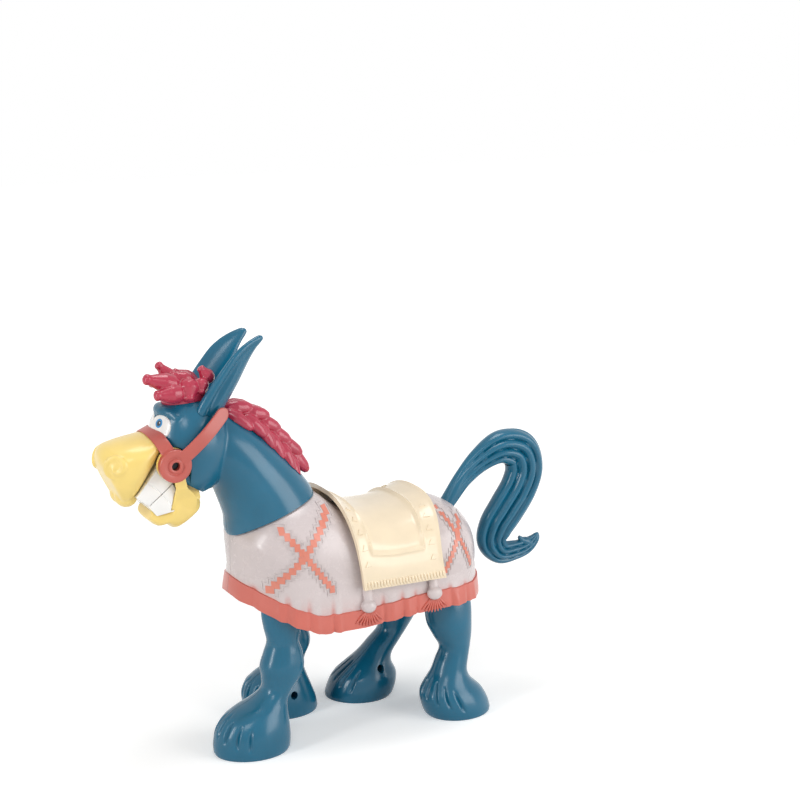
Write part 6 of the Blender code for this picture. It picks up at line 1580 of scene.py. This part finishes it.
class DONKEY_OT_blanket(bpy.types.Operator):
    """Both halves of the blanket body with pleated hem, stepped crosses and tassels."""

    bl_idname = "donkey.blanket"
    bl_label = "Blanket"

    def execute(self, context):
        colours, sizes = context.scene.donkey_colours, context.scene.donkey_sizes
        mauve = sprayed_blanket("mauve_abs_sprayed", colours.mauve, colours.coral)
        coral = moulded("coral_lacquer", colours.coral)
        salmon = moulded("salmon_lacquer", colours.salmon)
        band, lift = sizes.hem_band / MM, sizes.hem_lift / MM
        for side, label in BOTH_SIDES:
            outer = blanket_sheet(side, 0.0, band, lift)
            inner = blanket_sheet(side, BODY_WALL, band, lift)
            shape = walled(outer[:2], inner[:2])
            slots = outer[2] + [0] * (len(shape[1]) - len(outer[2]))
            skin = make(f"blanket_{label}", shape, slots)
            for material in (mauve, coral):
                skin.data.materials.append(material)
            spots = {}
            for point, value in zip(outer[0], outer[3]):
                spots[tuple(round(place, 2) for place in point)] = value
            self.pierce(skin, side)
            spray = skin.data.attributes.new("spray", "FLOAT", "POINT")
            keys = [tuple(round(value / MM, 2) for value in vertex.co) for vertex in skin.data.vertices]
            spray.data.foreach_set("value", [spots.get(key, 0.0) for key in keys])
            nodes = (f"body_shell_{label}",)
            dressed(skin, "chassis", [mauve, coral], SHARP_SHEET, nodes)
            tree = BVHTree.FromObject(skin, context.evaluated_depsgraph_get())
            self.crosses(tree, side, label, mauve, salmon, band, sizes.cross_lift / MM)
            self.tassels(tree, side, label, mauve, coral, sizes.fan_ribs)
        return {"FINISHED"}

    def pierce(self, skin, side):
        """Cuts the neck slot, the tail hole, the peg holes and the screw wells of the right half."""
        depth, radius = TAIL_HOLE
        cuts = [turned(TAIL_ROOT, TAIL_AXIS, ((-depth, radius), (depth, radius)))]
        hole = ((PEG_HOLE_LOW_Z, PEG_HOLE_RADIUS), (FAR, PEG_HOLE_RADIUS))
        cuts += [turned((x, 0, 0), (0, 0, 1), hole, PEG_SIDES) for x, _ in SADDLE_PEGS]
        if side > 0:
            cuts += [rod(x, z, *SHELL_WELL, FAR) for x, z in SHELL_BOSSES]
        front, rear = (polar(*NECK_PIVOT, SHOULDER_RADIUS, degrees)[0] for degrees in NECK_SLOT_ANGLES)
        half, low = NECK_SLOT
        cuts.append(box((front, -half, low), (rear, half, FAR)))
        carved(skin, *cuts)

    def crosses(self, tree, side, label, mauve, salmon, band, lift):
        """Chains of raised squares in salmon with a thin stepped outline in the blanket's own plastic."""
        squares, lines = [], []
        for arms in CROSSES:
            laid = [arm_squares(*arm) for arm in arms]
            for number, (centres, step) in enumerate(laid):
                reach = Vector((abs(step.x), abs(step.y))) * SQUARE_REACH
                for place, centre in enumerate(centres):
                    corners = [
                        (centre.x + across * reach.x, centre.y + up * reach.y)
                        for across, up in ((-1, -1), (1, -1), (1, 1), (-1, 1))
                    ]
                    rise = lift + SQUARE_STEP * (place % 2) + ARM_STEP * number
                    squares.append(tile(tree, corners, side, rise))
                other = laid[1 - number]
                for a, b in outline_edges(centres, step):
                    low = hem_height(a.x) + band + PATTERN_CLEAR
                    if within_arm((a + b) / 2, *other) or min(a.y, b.y) < low:
                        continue
                    along = (b - a).normalized() * OUTLINE_WIDTH / 2
                    across = Vector((-along.y, along.x))
                    corners = bar_outline(a - along, b + along, across)
                    lines.append(tile(tree, corners, side, OUTLINE_LIFT))
        made = make(f"crosses_{label}", joined(*filter(None, squares)))
        dressed(made, "chassis", [salmon], SHARP_TILE)
        made = make(f"cross_outlines_{label}", joined(*filter(None, lines)))
        dressed(made, "chassis", [mauve], SHARP_TILE)

    def tassels(self, tree, side, label, mauve, coral, count):
        """Stems with bobbles, and a fan of ribs below each on the hem."""
        shapes, places = [], []
        for x, z in BOBBLES:
            knob = drape(tree, x, z, side, KNOB_RISE)
            head = drape(tree, x, z + STEM_LENGTH, side, STEM_RISE)
            shapes.append(ball(knob, KNOB_RADII, 0, *KNOB_MESH))
            path = between([tuple(head), tuple((head + knob) / 2), tuple(knob)], STEM_ROWS)
            widths = np.linspace(*STEM_WIDTHS, STEM_ROWS)
            shapes.append(swept(path, widths, [STEM_DEPTH] * STEM_ROWS, (1, 0, 0)))
            for rib in range(count):
                share = 2 * rib / (count - 1) - 1
                top = Vector((x + share * FAN_TOP[0], z - FAN_TOP[1]))
                low = Vector((x + share * FAN_FOOT[0], z - FAN_FOOT[1] + FAN_BOW * share * share))
                start = drape(tree, *top, side, FAN_RISE)
                end = drape(tree, low.x, max(low.y, hem_height(low.x) + FAN_CLEAR), side, FAN_RISE)
                end.z = low.y
                out = (drape(tree, *top, side, 1.0) - start).normalized()
                places.append(((start + end) / 2, (end - start).normalized(), out))
        made = fused(f"tassel_bobbles_{label}", shapes, *MELT["tassels"])
        dressed(made, "chassis", [mauve], SHARP_ROUND)
        made = ribs(f"tassel_fans_{label}", places, FAN_RIB, coral)
        dressed(made, "chassis", [coral], SHARP_ROUND)


class DONKEY_OT_saddle(bpy.types.Operator):
    """The saddle pad with bead frames, embossed triangles and a ribbed fringe."""

    bl_idname = "donkey.saddle"
    bl_label = "Saddle pad"

    def execute(self, context):
        sizes = context.scene.donkey_sizes
        cream = moulded("cream_abs", context.scene.donkey_colours.cream)
        bead = sizes.bead / MM
        pad = make("saddle_pad", walled(saddle_grid(0.0, bead), saddle_grid(SADDLE_THICKNESS, bead)))
        for x, low in SADDLE_PEGS:
            profile = ((low, PEG_RADIUS), (PEG_TOP_Z, PEG_RADIUS))
            carved(pad, turned((x, 0, 0), (0, 0, 1), profile, PEG_SIDES), operation="UNION")
        dressed(pad, "chassis", [cream], SHARP_SHEET, ("saddle",))
        fringe, studs = [], []
        angles, edges = saddle_angles(TRIANGLE_STEPS)
        for side in (-1, 1):
            for rib in range(sizes.fringe_ribs):
                share = FRINGE_END + (1 - 2 * FRINGE_END) * rib / (sizes.fringe_ribs - 1)
                low, high = (saddle_spot(share, side * (math.pi / 2 - up)) for up in FRINGE_WAY)
                way = (high - low).normalized()
                fringe.append((low + way * FRINGE_RISE, way, (0, side, 0)))
            for share in TRIANGLE_SHARES:
                for run in TRIANGLE_RUNS:
                    place = int(np.argmin(np.abs(edges[: TRIANGLE_STEPS // 2] - run)))
                    angle = angles[place] * (1 if side < 0 else -1)
                    spot = saddle_spot(share, angle)
                    ahead = saddle_spot(share, angle * TRIANGLE_AHEAD) - spot
                    along = saddle_spot(share + TRIANGLE_ALONG, angle) - spot
                    out = along.cross(ahead).normalized()
                    out = out if out.dot(Vector((0, side, 1))) > 0 else -out
                    studs.append((spot - out * TRIANGLE_SINK, ahead.normalized(), out))
        made = ribs("saddle_fringe", fringe, FRINGE_RIB, cream)
        dressed(made, "chassis", [cream], SHARP_ROUND)
        made = ribs("saddle_triangles", studs, TRIANGLE_SIZE, cream, 3)
        dressed(made, "chassis", [cream], SHARP_EMBOSSED)
        return {"FINISHED"}


class DONKEY_OT_head(bpy.types.Operator):
    """Both halves of the neck and head with brow ridges and eye sockets."""

    bl_idname = "donkey.head"
    bl_label = "Head and neck"

    def execute(self, context):
        teal = moulded("teal_abs", context.scene.donkey_colours.teal)
        seam = context.scene.donkey_sizes.seam / MM
        lumps = [neck_tube(), head_ball(), brow(-1), brow(1)]
        skin = fused("head_left", lumps, *MELT["head"])
        hollow = (span_loft(NECK_RINGS, -HEAD_WALL, HOLLOW_ROWS), head_ball(-HEAD_WALL))
        foot = span_loft((NECK_FOOT,) + NECK_RINGS[:2], -HEAD_WALL, FOOT_ROWS)
        carved(skin, *hollow, foot, shoulder_barrel(NECK_CLEAR), mouth_wedge(-FAR, FAR), box(*THROAT))
        relief_y, relief_turn = CHEEK_RELIEF
        for side in (-1, 1):
            carved(skin, mouth_wedge(relief_y * side, FAR * side, relief_turn), *jaw_seat(side))
            carved(skin, eye_ball(side, FIT_GAP))
            carved(skin, rod(*JAW_PIVOT, JAW_PIN_RADIUS + PIN_GAP, *span(side, 0, FAR)))
        halves = (skin, twin(skin, "head_right"))
        for half, (side, label) in zip(halves, BOTH_SIDES):
            carved(half, half_space(-side, seam / 2))
            dressed(half, "neck", [teal], SHARP_SKIN, (f"head_shell_{label}",))
        return {"FINISHED"}


class DONKEY_OT_mouth(bpy.types.Operator):
    """Muzzle with nostrils, hinged lower jaw and both rows of teeth."""

    bl_idname = "donkey.mouth"
    bl_label = "Muzzle, jaw and teeth"

    def execute(self, context):
        colours = context.scene.donkey_colours
        yellow = moulded("yellow_abs_satin", colours.yellow)
        white = moulded("white_abs", colours.white)
        tree = BVHTree.FromPolygons(*snout())
        lumps = [snout()]
        for side in (-1, 1):
            lumps += [lip_lobe(side), nostril(tree, side)]
        muzzle = fused("muzzle_skin", lumps, *MELT["muzzle"])
        carved(muzzle, head_ball(FIT_GAP))
        for side in (-1, 1):
            ends = span(side, JAW_HUB_Y[0] - 1.0, FAR)
            carved(muzzle, rod(*JAW_PIVOT, JAW_HUB_RADIUS + RUN_GAP, *ends, HUB_SIDES))
        dressed(muzzle, "neck", [yellow], SHARP_SKIN, ("muzzle",))
        lumps = [chin(), ball(*CHIN_LIP)]
        for side in (-1, 1):
            lumps += [jaw_arm(side), jaw_web(side)]
        jaw = fused("jaw_skin", lumps, *MELT["jaw"])
        for side in (-1, 1):
            hub = rod(*JAW_PIVOT, JAW_HUB_RADIUS, *span(side, *JAW_HUB_Y), HUB_SIDES)
            carved(jaw, hub, operation="UNION")
            carved(jaw, rod(*JAW_PIVOT, JAW_PIN_RADIUS + PIN_GAP, *span(side, 0, FAR)))
        dressed(jaw, "jaw", [yellow], SHARP_SKIN, ("lower_jaw",))
        pin = rod(*JAW_PIVOT, JAW_PIN_RADIUS + PIN_GAP, -FAR, FAR)
        cuts = (snout(FIT_GAP), lip_lobe(-1, FIT_GAP), lip_lobe(1, FIT_GAP), head_ball(FIT_GAP), pin)
        upper = tooth_row("upper_teeth_row", UPPER_TEETH, UPPER_SEAMS, cuts)
        dressed(upper, "neck", [white], SHARP_SHEET, ("upper_teeth",))
        cuts = [chin(FIT_GAP), ball(*CHIN_LIP, FIT_GAP)]
        for side in (-1, 1):
            cuts += [jaw_arm(side, FIT_GAP), jaw_web(side, FIT_GAP)]
        lower = tooth_row("lower_teeth_row", LOWER_TEETH, LOWER_SEAMS, cuts)
        dressed(lower, "jaw", [white], SHARP_SHEET, ("lower_teeth",))
        return {"FINISHED"}


class DONKEY_OT_bridle(bpy.types.Operator):
    """Noseband, cheek straps and the round discs with their screw wells."""

    bl_idname = "donkey.bridle"
    bl_label = "Bridle"

    def execute(self, context):
        red = moulded("bridle_abs_satin", context.scene.donkey_colours.bridle)
        pivot, top = Vector(JAW_PIVOT), Vector(NOSEBAND_TOP)
        rise = top - pivot
        lift = Vector((rise.x, 0, rise.y)).normalized() * NOSEBAND_RISE
        inner_y = JAW_HUB_Y[1] + FIT_GAP
        path, normals = [], []
        for angle in np.linspace(-math.pi / 2, math.pi / 2, NOSEBAND_STEPS):
            inward, out = powers(angle, NOSEBAND_POWER)
            y = math.copysign(out, angle) * (inner_y + NOSEBAND_RISE)
            spot = pivot + rise * inward
            path.append(Vector((spot.x, y, spot.y)) + lift)
            beside = y * inward**NOSEBAND_TURN + math.copysign(0.001, y)
            normals.append((rise.x * inward, beside, rise.y * inward))
        shapes = [strap(path, normals, (rise.y, 0, -rise.x), [STRAP_WIDTH] * len(path))]
        for side in (-1, 1):
            end = Vector(mirrored(CHEEK_STRAP_TOP, side))
            start = Vector((pivot.x, (inner_y + NOSEBAND_RISE) * side, pivot.y))
            bulge = Vector((0, (HEAD_RADII[1] + CHEEK_STRAP_BULGE - inner_y) * side, 0))
            way = end - start
            shares = 1 - np.linspace(1, 0, CHEEK_STRAP_STEPS) ** CHEEK_STRAP_SPACING
            line = [start.lerp(end, share) + bulge * math.sin(math.pi * share) for share in shares]
            ends = np.clip((shares - 1 + STRAP_ROUND) / STRAP_ROUND, 0, STRAP_FULLEST)
            widths = STRAP_WIDTH * np.sqrt(1 - ends**2)
            shapes.append(strap(line, [(0, side, 0)] * len(line), (-way.z, 0, way.x), widths))
            shapes.append(turned((pivot.x, 0, pivot.y), (0, side, 0), DISC_PROFILE, DISC_SIDES))
        band = make("bridle_straps", shapes[0])
        carved(band, *shapes[1:], operation="UNION")
        carved(band, *(rod(*JAW_PIVOT, DISC_HOLE_RADIUS, *span(side, 0, FAR)) for side in (-1, 1)))
        carved(band, head_ball(FIT_GAP), neck_tube(FIT_GAP), snout(FIT_GAP))
        dressed(band, "neck", [red], SHARP_STRAP, ("bridle",))
        return {"FINISHED"}


class DONKEY_OT_face(bpy.types.Operator):
    """Painted eyes and grooved ears."""

    bl_idname = "donkey.face"
    bl_label = "Eyes and ears"

    def execute(self, context):
        colours = context.scene.donkey_colours
        eye_paint = painted_eye("white_gloss_printed_iris", colours)
        teal = moulded("teal_abs", colours.teal)
        x, y, z = CHEEK_STRAP_TOP
        half, below, above = STRAP_ROOM
        for side, label in BOTH_SIDES:
            eye = make(f"eyeball_{label}", eye_ball(side))
            carved(eye, head_ball(EYE_RISE), operation="INTERSECT")
            carved(eye, half_space(-side, EYE_SPLIT))
            dressed(eye, "neck", [eye_paint], SHARP_ROUND, (f"eye_{label}",))
            ear = make(f"ear_leaf_{label}", ear_leaf(side))
            low, high = span(side, *(y + value for value in STRAP_ROOM_Y))
            room = box((x - half, low, z - below), (x + half, high, z + above))
            carved(ear, head_ball(FIT_GAP), neck_tube(FIT_GAP), room)
            dressed(ear, "neck", [teal], SHARP_ROUND, (f"ear_{label}",))
        return {"FINISHED"}


class DONKEY_OT_hair(bpy.types.Operator):
    """Forelock of plump tufts and a mane of leaf-shaped locks."""

    bl_idname = "donkey.hair"
    bl_label = "Forelock and mane"

    def execute(self, context):
        crimson = moulded("crimson_abs", context.scene.donkey_colours.crimson)
        lumps = [ball(FORELOCK_ROOT, FORELOCK_CORE_RADII)]
        lumps += [tuft(root, tip, radius) for tip, root, radius in FORELOCK_LOCKS]
        lock = fused("forelock_tufts", lumps, *MELT["forelock"])
        carved(lock, head_ball(FIT_GAP), neck_tube(FIT_GAP))
        for side in (-1, 1):
            carved(lock, ear_leaf(side, FIT_GAP), eye_ball(side, FIT_GAP))
        dressed(lock, "neck", [crimson], SHARP_ROUND, ("forelock",))
        leaves = [mane_core()]
        for number in range(MANE_LOCKS):
            for row in MANE_ROWS:
                leaves += [mane_leaf(number / MANE_LOCKS, side, row) for side in (-1, 1)]
        mane = fused("mane_locks", leaves, *MELT["mane"])
        carved(mane, neck_tube(FIT_GAP), head_ball(FIT_GAP), ear_leaf(-1, FIT_GAP), ear_leaf(1, FIT_GAP))
        carved(mane, box((-FAR, -FAR, 0), (FAR, FAR, MANE_FOOT_Z)))
        dressed(mane, "neck", [crimson], SHARP_ROUND, ("mane",))
        return {"FINISHED"}


class DONKEY_OT_tail(bpy.types.Operator):
    """The ribbed plume tail on its stem."""

    bl_idname = "donkey.tail"
    bl_label = "Tail"

    def execute(self, context):
        teal = moulded("teal_abs", context.scene.donkey_colours.teal)
        tail = make("tail_plume", tail_shape())
        curl = between(TAIL_CURL, TAIL_CURL_STEPS)
        girth = between([(value,) for value in TAIL_CURL_GIRTH], TAIL_CURL_STEPS)[:, 0]
        carved(tail, turned(TAIL_ROOT, TAIL_AXIS, TAIL_STEM), swept(curl, girth, girth), operation="UNION")
        dressed(tail, "tail", [teal], SHARP_ROUND, ("tail",))
        return {"FINISHED"}


class DONKEY_OT_legs(bpy.types.Operator):
    """Four legs, each an outer and an inner half, with creased toes and screw wells."""

    bl_idname = "donkey.legs"
    bl_label = "Legs"

    def execute(self, context):
        teal = moulded("teal_abs", context.scene.donkey_colours.teal)
        sizes = context.scene.donkey_sizes
        seam = sizes.seam / MM
        for pair in LEGS:
            for side, label in BOTH_SIDES:
                name = f"{pair}_{label}_leg"
                hip = LEGS[pair]["hip"]
                half = LEG_STATIONS[pair][1][3]
                leg = make(f"{name}_skin_outer", leg_skin(pair, side, sizes.toe_crease / MM))
                boss = rod(*hip, HIP_BOSS_RADIUS, *span(side, HIP_Y - half, HIP_Y + half))
                carved(leg, boss, operation="UNION")
                bore = rod(*hip, HIP_BORE_RADIUS, *span(side, 0, FAR))
                carved(leg, bore, *screw_cuts(pair, side))
                inner = twin(leg, f"{name}_skin_inner")
                low, high = span(side, -FAR, HIP_Y + seam / 2)
                carved(leg, box((-FAR, low, -FAR), (FAR, high, FAR)))
                low, high = span(side, HIP_Y - seam / 2, FAR)
                carved(inner, box((-FAR, low, -FAR), (FAR, high, FAR)))
                bar, slot = leg_arm(pair, side)
                carved(leg, bar, operation="UNION")
                carved(leg, slot, bore)
                dressed(leg, name, [teal], SHARP_SHEET, (f"{name}_outer",))
                dressed(inner, name, [teal], SHARP_SHEET, (f"{name}_inner",))
        return {"FINISHED"}


class DONKEY_OT_works(bpy.types.Operator):
    """Finishes of the pan, battery box, drive, axles and screws, which keep their CAD shape."""

    bl_idname = "donkey.works"
    bl_label = "Pan and works"

    def execute(self, context):
        colours = context.scene.donkey_colours
        finishes = {
            "body_teal": moulded("teal_abs", colours.teal),
            "nylon": moulded("natural_nylon", colours.nylon),
            "steel": plain_steel("zinc_plated_steel", colours.steel),
            "black": moulded("black_nylon", colours.black),
            "cell_jacket": moulded("printed_cell_jacket", colours.jacket),
        }
        oxide = plain_steel("black_oxide_steel", colours.oxide)
        for part in frame["record"]["subparts"]:
            obj = frame["nodes"][part["node"]]
            if obj.hide_render:
                continue
            slot = part["material_slot"]
            obj.data.materials.clear()
            obj.data.materials.append(oxide if "screw" in part["node"] else finishes[slot])
        return {"FINISHED"}


class DONKEY_PT_panel(bpy.types.Panel):
    """Lists the steps and what a user may change."""

    bl_idname = "DONKEY_PT_panel"
    bl_label = "Toy Donkey"
    bl_space_type = "VIEW_3D"
    bl_region_type = "UI"
    bl_category = "Toy Donkey"

    def draw(self, context):
        for step in STEPS:
            self.layout.operator(step.bl_idname)
        for group in (context.scene.donkey_colours, context.scene.donkey_sizes):
            for name in group.__annotations__:
                self.layout.prop(group, name)


STEPS = (
    DONKEY_OT_stage,
    DONKEY_OT_blanket,
    DONKEY_OT_saddle,
    DONKEY_OT_head,
    DONKEY_OT_mouth,
    DONKEY_OT_bridle,
    DONKEY_OT_face,
    DONKEY_OT_hair,
    DONKEY_OT_tail,
    DONKEY_OT_legs,
    DONKEY_OT_works,
)
CLASSES = (DonkeyColours, DonkeySizes, *STEPS, DONKEY_PT_panel)


def register():
    for item in CLASSES:
        bpy.utils.register_class(item)
    bpy.types.Scene.donkey_colours = PointerProperty(type=DonkeyColours)
    bpy.types.Scene.donkey_sizes = PointerProperty(type=DonkeySizes)


def unregister():
    del bpy.types.Scene.donkey_sizes
    del bpy.types.Scene.donkey_colours
    for item in reversed(CLASSES):
        bpy.utils.unregister_class(item)


def main():
    register()
    for step in STEPS:
        group, name = step.bl_idname.split(".")
        getattr(getattr(bpy.ops, group), name)()


if __name__ == "__main__":
    main()
